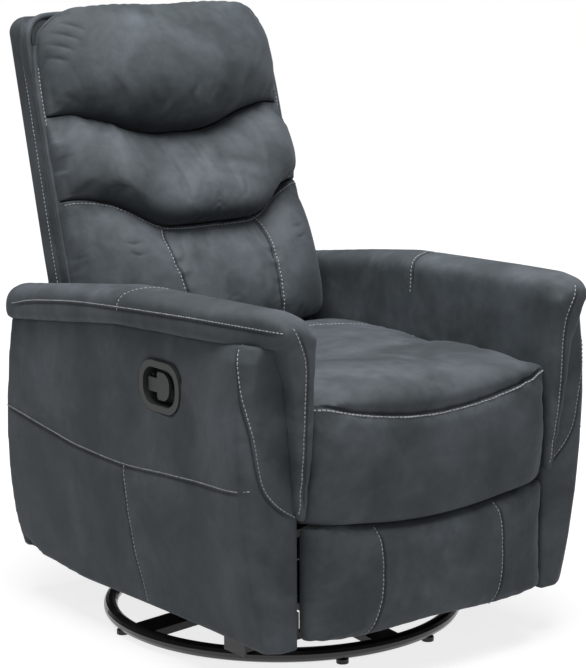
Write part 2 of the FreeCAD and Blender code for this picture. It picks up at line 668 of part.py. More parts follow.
def build_handle():
    """The oval cup in the right arm and the paddle that the hand pulls."""
    face = -ARM_CORE_X - BEZEL_FACE
    deep = face + BEZEL_DEPTH
    rim = prism(handle_outline(-BEZEL_FIT), "yz", face - BEZEL_PROUD, deep)
    cup = rim.cut(prism(handle_outline(-BEZEL_RIM), "yz", face - BEZEL_PROUD, deep - BEZEL_WALL))
    neck_y = HANDLE_Y + BEZEL_LENGTH / 2 - BEZEL_RIM - PADDLE_OFFSET
    pin_x = deep - BEZEL_WALL - 8
    low = HANDLE_Z - PADDLE_NECK_HALF
    high = HANDLE_Z + PADDLE_NECK_HALF
    pin = post(PADDLE_PIN_RADIUS, low - 4, high + 4, pin_x, neck_y)
    save("handle_bezel", cup.fuse(pin).removeSplitter())

    head_front = HANDLE_Y - PADDLE_HEAD_FRONT
    head_rear = HANDLE_Y + PADDLE_HEAD_REAR
    head_low = HANDLE_Z - PADDLE_HEAD_HALF
    head_high = HANDLE_Z + PADDLE_HEAD_HALF
    blade = prism([(neck_y - 2, low, 3), (neck_y - 2, high, 3), (head_rear, high), (head_rear, head_high, 6),
                   (head_front, head_high, 20), (head_front, head_low, 20), (head_rear, head_low, 6),
                   (head_rear, low)],
                  "yz", pin_x - PADDLE_OFFSET - PADDLE_THICK, pin_x - PADDLE_OFFSET)
    knuckle = post(PADDLE_KNUCKLE_RADIUS, low, high, pin_x, neck_y)
    web = block(pin_x - PADDLE_OFFSET - 2, pin_x, neck_y - PADDLE_KNUCKLE_RADIUS, neck_y + 1, low, high)
    paddle = blade.fuse([knuckle, web]).removeSplitter()
    pin_hole = (PADDLE_PIN_RADIUS + CLEAR) / math.cos(math.pi / PIN_SIDES)
    save("release_paddle", paddle.cut(post(pin_hole, low, high, pin_x, neck_y)))


def build_seat():
    """The moving seat's side plates, rails and straps, and the links under it."""
    reach = (SEAT_LINK_LENGTH * math.sin(math.radians(SEAT_LINK_LEAN)),
             SEAT_LINK_LENGTH * math.cos(math.radians(SEAT_LINK_LEAN)))
    outer_end = SEAT_LINK_X + LINK_THICK + PIN_PROUD
    plate_face = SEAT_PLATE_X + SHEET
    pins = []
    for y, node in ((SEAT_LINK_FRONT_Y, "seat_front_links"), (SEAT_LINK_REAR_Y, "seat_rear_links")):
        low = (y, SEAT_LINK_BASE_Z)
        high = (y + reach[0], SEAT_LINK_BASE_Z + reach[1])
        pins.append(rod(PIN_RADIUS, plate_face, outer_end, *high))
        save(node, pair([link(low, high, SEAT_LINK_WIDTH, SEAT_LINK_X, (low, high), PIN_RADIUS + CLEAR)]))
    drive_pivot = polar(LEG_PIVOT_Y, LEG_PIVOT_Z, -FRONT_LINK_TAIL, FRONT_LINK_ANGLE)
    pins.append(rod(PIN_RADIUS, plate_face, outer_end, BACK_PIVOT_Y, BACK_PIVOT_Z))
    pins.append(rod(LEG_PIN_RADIUS, plate_face, outer_end, *drive_pivot))
    pins.append(rod(LEG_PIN_RADIUS, LEG_A_X + CLEAR, SEAT_PLATE_X, LEG_PIVOT_Y, LEG_PIVOT_Z))
    save("seat_pins", pair(pins))

    rail_low = SEAT_DECK_Z - SEAT_RAIL_HEIGHT
    lug_rear = BACK_PIVOT_Y + SEAT_LUG
    lug_top = BACK_PIVOT_Z + SEAT_LUG
    plate_outline = [(SEAT_RAIL_FRONT_Y, rail_low), *SEAT_PLATE_BELLY, (lug_rear, SEAT_LUG_LOW_Z, 15),
                     (lug_rear, lug_top, PLATE_CORNER), (SEAT_LUG_FRONT_Y, lug_top, 15),
                     (SEAT_REAR_Y + 3, SEAT_DECK_Z), (SEAT_RAIL_FRONT_Y, SEAT_DECK_Z)]
    save_both("seat_side_plate", prism(plate_outline, "yz", SEAT_PLATE_X, plate_face))
    rail_rear_y = SEAT_RAIL_FRONT_Y + SEAT_RAIL_THICK
    for node, front, rear in (("seat_front_rail", SEAT_RAIL_FRONT_Y, rail_rear_y),
                              ("seat_rear_rail", SEAT_REAR_RAIL_Y, SEAT_REAR_RAIL_Y + SEAT_RAIL_THICK)):
        save(node, block(-SEAT_PLATE_X, SEAT_PLATE_X, front, rear, rail_low, SEAT_DECK_Z))
    straps = []
    for x in STRAP_PLACES:
        straps.append(block(x - STRAP_WIDTH / 2, x + STRAP_WIDTH / 2, rail_rear_y, SEAT_REAR_RAIL_Y,
                            SEAT_DECK_Z - STRAP_THICK, SEAT_DECK_Z))
    save("seat_webbing", Part.makeCompound(straps))


def build_seat_cushion():
    """The crowned seat cushion, which rests on the side plates and hangs over the front rail as an apron."""
    rest = SEAT_DECK_Z + CLEAR
    apron_y = SEAT_RAIL_FRONT_Y - CLEAR
    wires = []
    for x, hem, front, top in both_sides(SEAT_ROWS):
        corners = [(apron_y, rest), (apron_y, hem), (front, hem, 0, SEAT_CROWN),
                   (front, top, SEAT_ROLL, SEAT_CROWN), (SEAT_REAR_Y, top - SEAT_REAR_DROP, SEAT_REAR_ROLL),
                   (SEAT_REAR_Y, rest)]
        wires.append(outline(corners, "yz", x))
    save("seat_cushion", soft_loft(wires))


def back_prism(points, x0, x1):
    """A solid across the backrest from corners (s, w, radius) in its own axes."""
    corners = []
    for point in points:
        y, z = from_back(point[0], point[1])
        corners.append((y, z) + tuple(point[2:]))
    return prism(corners, "yz", x0, x1)


def back_cushion(rows, rise, belly):
    """A pillow between two seams, which swells to its belly and is drawn in at its sides and to the board."""
    board = SHELL_DEPTH + DECK_THICK
    place = PLANES["yz"]
    wires = []
    for x, low_s, high_s, low_w in both_sides(rows):
        height = high_s - low_s
        high_w = low_w + rise * height
        middle = ((low_s + high_s) / 2 - rise * belly * height, (low_w + high_w) / 2 + belly * height)
        low_foot = low_s + SEAM_DRAW * (low_w - board)
        high_foot = high_s - SEAM_DRAW * (high_w - board)
        profile = ((low_foot, board), (low_s, low_w), middle, (high_s, high_w), (high_foot, board))
        corners = [place(*from_back(s, w), x) for s, w in profile]
        edges = [Part.makeLine(corners[0], corners[1]),
                 Part.Arc(corners[1], corners[2], corners[3]).toShape(),
                 Part.makeLine(corners[3], corners[4]), Part.makeLine(corners[4], corners[0])]
        wires.append(Part.Wire(edges))
    return soft_loft(wires)


def shell_front_view(inset, bottom, corner):
    """The back shell's outline from the front, made smaller by a wall."""
    half = SHELL_HALF_WIDTH - inset
    shoulder = half - SHELL_TAPER
    top = from_back(BACK_TOP_S, SHELL_DEPTH)[1] + SHELL_TAPER - inset
    return [(-half, bottom), (half, bottom), (half, SHELL_SHOULDER_Z), (shoulder, top, corner),
            (-shoulder, top, corner), (-half, SHELL_SHOULDER_Z)]


def build_back_shell():
    """The upholstered shell round the back's frame, open to the front."""
    half = SHELL_HALF_WIDTH
    wall = SHELL_WALL
    far = SHELL_DEPTH
    front_low = (BACK_FOOT_Y - SHELL_FOOT_REACH, SHELL_BOTTOM_Z + SHELL_FOOT_RISE)
    side_view = [(BACK_FOOT_Y, SHELL_BOTTOM_Z, 8), (BACK_FOOT_Y, BACK_FOOT_Z, 60),
                 from_back(BACK_TOP_S, 0) + (26,), from_back(BACK_TOP_S - 4, far),
                 from_back(BACK_HEM_S, far) + (20,), front_low]
    body = prism(side_view, "yz", -half, half)
    outer_view = shell_front_view(0, SHELL_BOTTOM_Z - 5, SHELL_CORNER)
    body = body.common(prism(outer_view, "xz", 0, THROUGH_BACK))
    inner_top = BACK_TOP_S - wall - 4
    cavity_view = [(BACK_FOOT_Y - wall, SHELL_BOTTOM_Z + wall), from_back(0, wall),
                   from_back(inner_top, wall), from_back(inner_top, far + 30),
                   from_back(BACK_HEM_S, far + 30),
                   (BACK_FOOT_Y - 140, SHELL_BOTTOM_Z + wall)]
    cavity = prism(cavity_view, "yz", wall - half, half - wall)
    inner_view = shell_front_view(wall, SHELL_BOTTOM_Z, SHELL_CORNER - wall)
    cavity = cavity.common(prism(inner_view, "xz", 0, THROUGH_BACK))
    save("back_shell", body.cut(cavity))


def build_backrest():
    """The wooden back frame with its steel brackets, the board in front of it and the three pillows."""
    near = SHELL_WALL
    far = SHELL_DEPTH
    low = UPRIGHT_LOW_S
    top = UPRIGHT_TOP_S
    save_both("back_upright", back_prism([(low, near), (top, near), (top, far), (low, far)],
                                         UPRIGHT_X, UPRIGHT_X + UPRIGHT_THICK))
    rail_low = top - BACK_RAIL_WIDTH
    save("back_top_rail", back_prism([(rail_low, near), (top, near), (top, far), (rail_low, far)],
                                     -UPRIGHT_X, UPRIGHT_X))
    bracket_x = UPRIGHT_X - LINK_THICK - WELD_GAP
    rail_far = near + BOTTOM_RAIL_THICK
    rail_top = low + BOTTOM_RAIL_WIDTH
    bottom_rail = [(low, near), (rail_top, near), (rail_top, rail_far), (low, rail_far)]
    save("back_bottom_rail", back_prism(bottom_rail, -bracket_x, bracket_x))
    bracket = back_prism([(BRACKET_TOP_S, near + 2), (BRACKET_TOP_S, far - 2), (BRACKET_BEND_S, far - 2, 30),
                          *BRACKET_EYE, (BRACKET_FOOT_S, far, 16), (BACK_HEM_S, near + 2)],
                         bracket_x, bracket_x + LINK_THICK)
    pivot_hole = bore(PIN_RADIUS + CLEAR, bracket_x, bracket_x + LINK_THICK, BACK_PIVOT_Y, BACK_PIVOT_Z)
    save("back_brackets", pair([bracket.cut(pivot_hole)]))

    deck = back_prism([(DECK_LOW_S, far), (DECK_TOP_S, far), (DECK_TOP_S, far + DECK_THICK),
                       (DECK_LOW_S, far + DECK_THICK)], -DECK_HALF_WIDTH, DECK_HALF_WIDTH)
    deck_inset = SHELL_HALF_WIDTH - DECK_HALF_WIDTH
    deck_view = shell_front_view(deck_inset, SHELL_BOTTOM_Z, SHELL_CORNER - SHELL_WALL)
    save("back_deck", deck.common(prism(deck_view, "xz", 0, THROUGH_BACK)))
    save("head_pillow", back_cushion(HEAD_ROWS, HEAD_RISE, HEAD_BELLY))
    save("lumbar_pillow", back_cushion(LUMBAR_ROWS, LUMBAR_RISE, LUMBAR_BELLY))
    save("lower_back_pad", back_cushion(LOWER_ROWS, LOWER_RISE, LOWER_BELLY))


def build_footrest_linkage():
    """The folding links between the seat and the footrest, closed; gives the brace's pin on the bracket."""
    pivot = (LEG_PIVOT_Y, LEG_PIVOT_Z)
    foot = (FOOT_PIVOT_Y, FOOT_PIVOT_Z)
    elbow = polar(*foot, -FRONT_LINK_LENGTH, FRONT_LINK_ANGLE)
    rear_length = math.hypot(elbow[0] - LEG_PIVOT_Y, elbow[1] - LEG_PIVOT_Z)
    closed = math.degrees(math.atan2(elbow[1] - LEG_PIVOT_Z, LEG_PIVOT_Y - elbow[0]))
    tip = polar(*pivot, rear_length + REAR_LINK_TIP, closed)
    tail = polar(*elbow, -FRONT_LINK_TAIL, FRONT_LINK_ANGLE)
    drive_pivot = polar(*pivot, -FRONT_LINK_TAIL, FRONT_LINK_ANGLE)
    brace_pin = polar(*foot, BRACE_ARM, BRACE_ARM_ANGLE)
    print("footrest travel, degrees:", LEG_OPEN_ANGLE - closed)
    hole = LEG_PIN_RADIUS + CLEAR

    rear = [link(pivot, tip, LEG_LINK_WIDTH, LEG_A_X, (pivot,), hole),
            rod(LEG_PIN_RADIUS, LEG_B_X - PIN_PROUD, LEG_A_X, *elbow),
            rod(LEG_PIN_RADIUS, LEG_A_X + LINK_THICK, LEG_BRACE_X + LINK_THICK + PIN_PROUD, *tip)]
    save_both("legrest_rear_link", Part.makeCompound(rear))
    save("legrest_torque_bar", rod(TORQUE_BAR_RADIUS, -LEG_A_X, LEG_A_X, *pivot))

    front_face = LEG_B_X + LINK_THICK
    front = [link(tail, foot, LEG_LINK_WIDTH, LEG_B_X, (elbow,), hole),
             rod(LEG_PIN_RADIUS, front_face, SEAT_LINK_X + LINK_THICK + PIN_PROUD, *tail),
             rod(LEG_PIN_RADIUS, front_face, LEG_A_X + LINK_THICK + PIN_PROUD, *foot)]
    save_both("legrest_front_link", Part.makeCompound(front))
    drive = link(drive_pivot, tail, LEG_LINK_WIDTH, SEAT_LINK_X, (drive_pivot, tail), hole)
    save("legrest_drive_links", pair([drive]))

    brace = link(tip, brace_pin, LEG_LINK_WIDTH + 2, LEG_BRACE_X, (brace_pin,), hole)
    brace_face = LEG_BRACE_X + LINK_THICK
    eye = rod(LEG_PIN_RADIUS + BRACE_SLACK + BRACE_EYE_WALL, LEG_BRACE_X, brace_face, *tip)
    slack = bore(LEG_PIN_RADIUS + BRACE_SLACK, LEG_BRACE_X, brace_face, *tip)
    save("legrest_brace_links", pair([brace.fuse(eye).cut(slack).removeSplitter()]))
    return brace_pin


def build_footrest(brace_pin):
    """The padded board on the front of the linkage, with its brackets."""
    board_front = FOOT_BOARD_Y - FOOT_BOARD_THICK
    half = FOOT_BOARD_HALF
    save("footrest_board", prism([(-half, FOOT_BOARD_LOW_Z, 12), (half, FOOT_BOARD_LOW_Z, 12),
                                  (half, FOOT_BOARD_TOP_Z, 12), (-half, FOOT_BOARD_TOP_Z, 12)],
                                 "xz", board_front, FOOT_BOARD_Y))
    web = prism([(FOOT_BOARD_Y, BRACKET_LOW_Z), (FOOT_BOARD_Y + 16, BRACKET_LOW_Z),
                 (brace_pin[0] + 11, brace_pin[1] - 10, 8), (FOOT_PIVOT_Y + 11, FOOT_PIVOT_Z + 10, 8),
                 (FOOT_BOARD_Y, FOOT_PIVOT_Z + 10)],
                "yz", LEG_A_X, LEG_A_X + LINK_THICK)
    flange = block(LEG_A_X - BRACKET_FLANGE, LEG_A_X + 1, FOOT_BOARD_Y, FOOT_BOARD_Y + SHEET, BRACKET_LOW_Z,
                   BRACKET_FLANGE_TOP_Z)
    bracket = web.fuse(flange).removeSplitter()
    pin_hole = bore(LEG_PIN_RADIUS + CLEAR, LEG_A_X, LEG_A_X + LINK_THICK, FOOT_PIVOT_Y, FOOT_PIVOT_Z)
    bracket = bracket.cut(pin_hole)
    stud = rod(LEG_PIN_RADIUS, LEG_A_X + LINK_THICK, LEG_BRACE_X + LINK_THICK + PIN_PROUD, *brace_pin)
    save("footrest_brackets", pair([bracket, stud]))

    wires = []
    for x, low, high, front in both_sides(FOOT_ROWS):
        back = board_front - CLEAR
        wires.append(outline([(back, low), (back, high), (front, high, FOOT_PAD_ROUND, FOOT_PAD_CROWN),
                              (front, low, FOOT_PAD_ROUND)], "yz", x))
    save("footrest_pad", soft_loft(wires))


def main():
    os.makedirs("parts", exist_ok=True)
    build_floor_ring()
    build_swivel()
    build_glider()
    build_chassis()
    build_arm_sides()
    build_arm_pads()
    build_handle()
    build_seat()
    build_seat_cushion()
    build_back_shell()
    build_backrest()
    build_footrest(build_footrest_linkage())


main()
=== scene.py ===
# %% [markdown]
# # A swivel glider recliner in slate faux suede
# The chair stands on a black steel ring. It swivels and glides there, its back leans and its footrest
# folds out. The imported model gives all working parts, at their real size and place. This script
# dresses them: stuffed pillows, a seat, wrapped arms, topstitching, paint and light.
# Lengths below are in millimetres, turned to metres with MM, and the chair faces -Y.

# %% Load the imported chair
import json
import math

import bmesh
import bpy
import numpy as np
from mathutils import Euler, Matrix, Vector
from mathutils.bvhtree import BVHTree
from mathutils.kdtree import KDTree


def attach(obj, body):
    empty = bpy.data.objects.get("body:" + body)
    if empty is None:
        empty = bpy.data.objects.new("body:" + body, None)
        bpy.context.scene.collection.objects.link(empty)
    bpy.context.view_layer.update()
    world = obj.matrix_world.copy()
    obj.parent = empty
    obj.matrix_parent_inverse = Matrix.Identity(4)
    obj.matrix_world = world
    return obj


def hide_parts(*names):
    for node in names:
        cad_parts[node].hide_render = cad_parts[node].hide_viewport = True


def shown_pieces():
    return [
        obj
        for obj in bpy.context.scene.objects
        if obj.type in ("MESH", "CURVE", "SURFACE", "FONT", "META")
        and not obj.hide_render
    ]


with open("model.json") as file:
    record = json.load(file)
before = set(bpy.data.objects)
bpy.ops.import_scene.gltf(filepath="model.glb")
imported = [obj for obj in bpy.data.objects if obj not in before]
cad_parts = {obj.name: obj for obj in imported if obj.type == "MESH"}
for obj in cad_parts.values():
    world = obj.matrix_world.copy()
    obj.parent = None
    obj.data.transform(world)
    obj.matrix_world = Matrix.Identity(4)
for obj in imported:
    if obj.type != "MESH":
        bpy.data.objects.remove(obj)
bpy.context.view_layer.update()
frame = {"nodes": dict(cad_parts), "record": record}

MM = 0.001
scene = bpy.context.scene

# %% [markdown]
# ## The camera
# The photograph was taken from the front right of the chair, a little above arm height, with a long
# lens. A camera can be moved by hand until the picture looks right, but small errors then hide in
# every outline. Here its place, aim, roll and lens were solved from corners whose real position is
# known, so each edge of the model can be held against the same edge in the photograph.

# %% Camera
CAMERA_PLACE = (-2346.0, -3149.0, 1276.0)
CAMERA_AIM = (28.0, 0.0, 517.8)
CAMERA_ROLL = -0.27
CAMERA_LENS = 118.56
CAMERA_NEAR = 0.05
CAMERA_FAR = 100.0


def add_camera():
    """A camera at the photograph's place, turned to its aim."""
    data = bpy.data.cameras.new("photo_camera")
    data.lens = CAMERA_LENS
    data.clip_start = CAMERA_NEAR
    data.clip_end = CAMERA_FAR
    camera = bpy.data.objects.new("photo_camera", data)
    scene.collection.objects.link(camera)
    place = Vector(CAMERA_PLACE) * MM
    aim = Vector(CAMERA_AIM) * MM
    turn = (aim - place).to_track_quat("-Z", "Y").to_matrix()
    roll = Euler((0, 0, math.radians(CAMERA_ROLL))).to_matrix()
    camera.location = place
    camera.rotation_euler = (turn @ roll).to_euler()
    scene.camera = camera


add_camera()
scene.view_settings.view_transform = "Standard"
print("camera at", CAMERA_PLACE, "with a lens of", CAMERA_LENS, "mm")

# %% [markdown]
# ## Meshes from grids of points
# Covers are sheets of cloth, sewn together and filled. One could sculpt them, but a sculpted mesh has
# no rows and columns, and those are useful: cloth moves best on even squares, and a seam follows a
# row. So most covers here are slabs: one grid of points for the outer face, and a second one, with the
# same rows and columns, for the face on the frame. Joined at their edges they make one closed mesh.

# %% A new piece
SAME_POINT = 0.00002


def new_piece(name, points, faces):
    """A smooth-shaded object from points in metres, at the origin, with its faces outwards."""
    mesh = bpy.data.meshes.new(name)
    mesh.from_pydata([tuple(p) for p in points], [], faces)
    work = bmesh.new()
    work.from_mesh(mesh)
    bmesh.ops.remove_doubles(work, verts=work.verts, dist=SAME_POINT)
    bmesh.ops.recalc_face_normals(work, faces=work.faces)
    if work.calc_volume(signed=True) < 0:
        bmesh.ops.reverse_faces(work, faces=work.faces)
    work.to_mesh(mesh)
    work.free()
    mesh.shade_smooth()
    piece = bpy.data.objects.new(name, mesh)
    scene.collection.objects.link(piece)
    return piece


print("points nearer than", SAME_POINT / MM, "mm are merged")

# %% A slab
def slab(name, front, back):
    """A closed mesh between two grids of points in millimetres, shaped (rows, columns, 3)."""
    rows, columns, _ = front.shape
    count = rows * columns

    def at(i, j, behind):
        return i * columns + j + (count if behind else 0)

    faces = []
    for i in range(rows - 1):
        for j in range(columns - 1):
            faces.append((at(i, j, 0), at(i + 1, j, 0), at(i + 1, j + 1, 0), at(i, j + 1, 0)))
            faces.append((at(i, j, 1), at(i, j + 1, 1), at(i + 1, j + 1, 1), at(i + 1, j, 1)))
    for i in range(rows - 1):
        faces.append((at(i, 0, 0), at(i, 0, 1), at(i + 1, 0, 1), at(i + 1, 0, 0)))
        end = columns - 1
        faces.append((at(i, end, 0), at(i + 1, end, 0), at(i + 1, end, 1), at(i, end, 1)))
    for j in range(columns - 1):
        faces.append((at(0, j, 0), at(0, j + 1, 0), at(0, j + 1, 1), at(0, j, 1)))
        end = rows - 1
        faces.append((at(end, j, 0), at(end, j, 1), at(end, j + 1, 1), at(end, j + 1, 0)))
    points = np.concatenate([front.reshape(-1, 3), back.reshape(-1, 3)]) * MM
    return new_piece(name, points, faces)


# %% [markdown]
# ## Curves and tables
# The edge of a pillow is a curve that a sewer draws through a few marks. The curve here does the same:
# it passes through every point given, and its points lie evenly along it. Sizes that change across the
# chair are read from short tables of (x, value). A curve object could serve too, but a table can be
# read at any x, which is what a grid of points asks for.

# %% Curves and tables
SPAN_STEPS = 40


def curve_through(points, count):
    """Evenly spaced points on a smooth curve through the points given."""
    knots = np.array(points, float)
    padded = np.vstack([2 * knots[0] - knots[1], knots, 2 * knots[-1] - knots[-2]])
    dense = []
    for k in range(len(knots) - 1):
        a, b, c, d = padded[k:k + 4]
        for t in np.linspace(0, 1, SPAN_STEPS, endpoint=False):
            dense.append(0.5 * (2 * b + (c - a) * t + (2 * a - 5 * b + 4 * c - d) * t ** 2
                                + (3 * b - a - 3 * c + d) * t ** 3))
    dense.append(knots[-1])
    dense = np.array(dense)
    run = np.concatenate([[0], np.cumsum(np.linalg.norm(np.diff(dense, axis=0), axis=1))])
    even = np.linspace(0, run[-1], count)
    return np.stack([np.interp(even, run, dense[:, k]) for k in range(dense.shape[1])], axis=1)


def eased(table, x):
    """A value read smoothly from (x, value) rows; the first slope is level, for shapes that mirror."""
    xs = np.array([row[0] for row in table], float)
    ys = np.array([row[1] for row in table], float)
    slopes = np.gradient(ys, xs)
    slopes[0] = 0.0
    x = np.clip(np.abs(x), xs[0], xs[-1])
    k = np.clip(np.searchsorted(xs, x) - 1, 0, len(xs) - 2)
    width = xs[k + 1] - xs[k]
    t = (x - xs[k]) / width
    return ((2 * t ** 3 - 3 * t ** 2 + 1) * ys[k] + (t ** 3 - 2 * t ** 2 + t) * width * slopes[k]
            + (3 * t ** 2 - 2 * t ** 3) * ys[k + 1] + (t ** 3 - t ** 2) * width * slopes[k + 1])


print("a curve through three points:", curve_through(((0, 0), (10, 5), (20, 0)), 5).round(1).tolist())


# %% Points and normals of a piece
def corners_of(piece):
    """The points of a piece as an array, in metres."""
    co = np.zeros(len(piece.data.vertices) * 3)
    piece.data.vertices.foreach_get("co", co)
    return co.reshape(-1, 3)


def set_corners(piece, co):
    """Writes an array of points back to a piece."""
    piece.data.vertices.foreach_set("co", co.ravel())
    piece.data.update()


def normals_of(piece):
    """The normals of a piece's points as an array."""
    normals = np.zeros(len(piece.data.vertices) * 3)
    piece.data.vertices.foreach_get("normal", normals)
    return normals.reshape(-1, 3)


def point_tree(points):
    """A search tree over a list of points."""
    tree = KDTree(len(points))
    for index, point in enumerate(points):
        tree.insert(point, index)
    tree.balance()
    return tree


print("points of the back's shell:", len(corners_of(frame["nodes"]["back_shell"])))

# %% [markdown]
# ## Stuffing
# A pillow looks soft because its cover is held at the seams and pushed out in between. The bulge could
# be drawn by a formula, but then it has no wrinkles. Blender's cloth does what the filling does: the
# points on the seams and on the board behind are pinned, and pressure fills the rest. Slack cuts the
# cover a little too large, so it creases. The cap keeps each pillow within the space that it has.

# %% Fill a cushion
FILL_PRESSURE = 4.0
FILL_FRAMES = 20
CLOTH_STEPS = 5
CLOTH_MASS = 0.25
CLOTH_STIFFNESS = 12.0
CLOTH_BENDING = 0.35
AIR_DAMPING = 2.0


def hang_cloth(piece, group, slack):
    """Gives a piece a cloth modifier with pressure, held where the vertex group says."""
    cloth = piece.modifiers.new("fill", "CLOTH")
    settings = cloth.settings
    settings.quality = CLOTH_STEPS
    settings.mass = CLOTH_MASS
    settings.tension_stiffness = CLOTH_STIFFNESS
    settings.compression_stiffness = CLOTH_STIFFNESS
    settings.shear_stiffness = CLOTH_STIFFNESS / 3
    settings.bending_stiffness = CLOTH_BENDING
    settings.air_damping = AIR_DAMPING
    settings.use_pressure = True
    settings.uniform_pressure_force = FILL_PRESSURE
    settings.shrink_min = -slack
    settings.effector_weights.gravity = 0.0
    settings.vertex_group_mass = group.name
    cloth.collision_settings.use_collision = False
    cloth.point_cache.frame_start = 1
    cloth.point_cache.frame_end = FILL_FRAMES
    return cloth


def inflate(piece, pinned, cap, slack):
    """Fills a piece by cloth simulation. Slack is the share by which the cover is cut too large."""
    before = corners_of(piece)
    group = piece.vertex_groups.new(name="held")
    group.add([int(i) for i in np.nonzero(pinned)[0]], 1.0, "REPLACE")
    cloth = hang_cloth(piece, group, slack)
    for step in range(1, FILL_FRAMES + 1):
        scene.frame_set(step)
    mesh = piece.evaluated_get(bpy.context.evaluated_depsgraph_get()).to_mesh()
    after = np.zeros(len(mesh.vertices) * 3)
    mesh.vertices.foreach_get("co", after)
    after = after.reshape(-1, 3)
    piece.modifiers.remove(cloth)
    piece.vertex_groups.remove(group)
    scene.frame_set(1)
    move = after - before
    size = np.linalg.norm(move, axis=1, keepdims=True)
    limit = cap * MM
    move *= limit / (limit + size)
    set_corners(piece, before + move)
    print(piece.name, "moved at most", round(float(np.linalg.norm(move, axis=1).max() / MM), 1), "mm")


print("cloth runs for", FILL_FRAMES, "frames, and not at all in a quick look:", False)


# %% A finer mesh
def refine(piece):
    """One level of subdivision, made part of the mesh."""
    fine = piece.modifiers.new("fine", "SUBSURF")
    fine.levels = 1
    fine.render_levels = 1
    mesh = bpy.data.meshes.new_from_object(piece.evaluated_get(bpy.context.evaluated_depsgraph_get()))
    piece.modifiers.remove(fine)
    old = piece.data
    piece.data = mesh
    bpy.data.meshes.remove(old)
    mesh.name = piece.name
    mesh.shade_smooth()


print("each level of subdivision makes 4 faces of one")

# %% [markdown]
# ## Seams
# A seam is a narrow valley in the cover, because the thread pulls the cloth down into the padding. A
# normal map could only hint at it. Here the valley is in the mesh: the faces near the seam are cut
# smaller, then their points are pressed in along a path that was laid on the cover. A wider, uneven
# valley around it gives the pucker. A "seam" value on the points also paints shade into the valley.

# %% Lay a path on a cover
CAST_BACK = 0.12
CAST_REACH = 0.3
EVEN_REACH = 4


def surface_of(piece):
    """A search tree over a piece's faces."""
    mesh = piece.data
    return BVHTree.FromPolygons([v.co for v in mesh.vertices], [p.vertices for p in mesh.polygons])


def evened(rows):
    """Rows of numbers averaged with their neighbours, the ends kept."""
    width = 2 * EVEN_REACH + 1
    padded = np.pad(rows, ((EVEN_REACH, EVEN_REACH), (0, 0)), mode="reflect", reflect_type="odd")
    return sum(padded[k:k + len(rows)] for k in range(width)) / width


def lay_on(piece, path, look, lift=0.0, aside=0.0):
    """Drops a path in metres on the surface along look, first moved sideways, then lifted off it."""
    tree = surface_of(piece)
    path = np.array(path, float)
    look = np.broadcast_to(np.array(look, float), path.shape)
    look = look / np.linalg.norm(look, axis=1, keepdims=True)
    along = np.gradient(path, axis=0)
    across = np.cross(look, along)
    across /= np.linalg.norm(across, axis=1, keepdims=True) + 1e-12
    path = path + across * aside
    places = []
    for point, way in zip(path, look):
        hit = tree.ray_cast(Vector(point - way * CAST_BACK), Vector(way), CAST_REACH)[0]
        if hit is None:
            hit = tree.find_nearest(Vector(point))[0]
        places.append(hit)
    return evened(np.array(places)) - look * lift


print("a laid path is averaged over", 2 * EVEN_REACH + 1, "points")

# %% Press a seam
SEAM_REACH = 9.0
FINE_EDGE = 2.4
CUT_ROUNDS = 2
PUCKER_STEP = 6
PUCKER_SPREAD = (0.55, 1.45)
VALLEY_REACH = 3.2
SEAM_END = 14
PAINTED_SHADE_WIDTH = 1.1


def finer_along(piece, path):
    """Cuts the faces near a path into smaller ones, so that a narrow seam has points to move."""
    tree = point_tree(path)
    reach = SEAM_REACH * MM
    low = path.min(0) - reach
    high = path.max(0) + reach
    work = bmesh.new()
    work.from_mesh(piece.data)
    for _ in range(CUT_ROUNDS):
        near = set()
        for vert in work.verts:
            x, y, z = vert.co
            if low[0] < x < high[0] and low[1] < y < high[1] and low[2] < z < high[2]:
                if tree.find(vert.co)[2] < reach:
                    near.add(vert)
        edges = []
        for edge in work.edges:
            if edge.verts[0] in near and edge.verts[1] in near and edge.calc_length() > FINE_EDGE * MM:
                edges.append(edge)
        if not edges:
            break
        bmesh.ops.subdivide_edges(work, edges=edges, cuts=1, use_grid_fill=True)
    work.to_mesh(piece.data)
    work.free()
    piece.data.shade_smooth()


def painted_shade_marks(piece):
    """How much painted shade each point of a piece has from seams, creases and wrinkles, from 0 to 1."""
    if "seam" not in piece.data.attributes:
        piece.data.attributes.new("seam", "FLOAT", "POINT")
    painted_shade = np.zeros(len(piece.data.vertices))
    piece.data.attributes["seam"].data.foreach_get("value", painted_shade)
    return painted_shade


def set_painted_shade_marks(piece, painted_shade):
    """Writes the painted shade back to a piece."""
    piece.data.attributes["seam"].data.foreach_set("value", painted_shade)


def press_seam(piece, path, depth, width, pull, pull_width, shade=1.0):
    """Presses a valley into a cover along a path, within a wider puckered one, and paints shade into it by
    the amount shade.
    """
    finer_along(piece, path)
    tree = point_tree(path)
    chance = np.random.default_rng(len(path))
    knots = np.arange(0, len(path) + 2 * PUCKER_STEP, PUCKER_STEP)
    pucker = np.interp(np.arange(len(path)), knots, chance.uniform(*PUCKER_SPREAD, len(knots)))
    painted_shade = painted_shade_marks(piece)
    normals = normals_of(piece)
    co = corners_of(piece)
    reach = VALLEY_REACH * max(width, pull_width) * MM
    low = np.array(path).min(0) - reach
    high = np.array(path).max(0) + reach
    for i in np.nonzero(((co > low) & (co < high)).all(1))[0]:
        _, k, gap = tree.find(Vector(co[i]))
        gap /= MM
        end = min(1.0, (k + 1) / SEAM_END, (len(path) - k) / SEAM_END)
        dip = depth * math.exp(-(gap / width) ** 2)
        dip += pull * pucker[k] * math.exp(-(gap / pull_width) ** 2)
        co[i] -= normals[i] * dip * end * MM
        # the darkening written here is painted shade in the seam's valley
        painted_shade[i] = max(painted_shade[i], shade * end * math.exp(-(gap / (width * PAINTED_SHADE_WIDTH)) ** 2))
    set_corners(piece, co)
    set_painted_shade_marks(piece, painted_shade)


print("faces within", SEAM_REACH, "mm of a seam are cut", CUT_ROUNDS, "times")

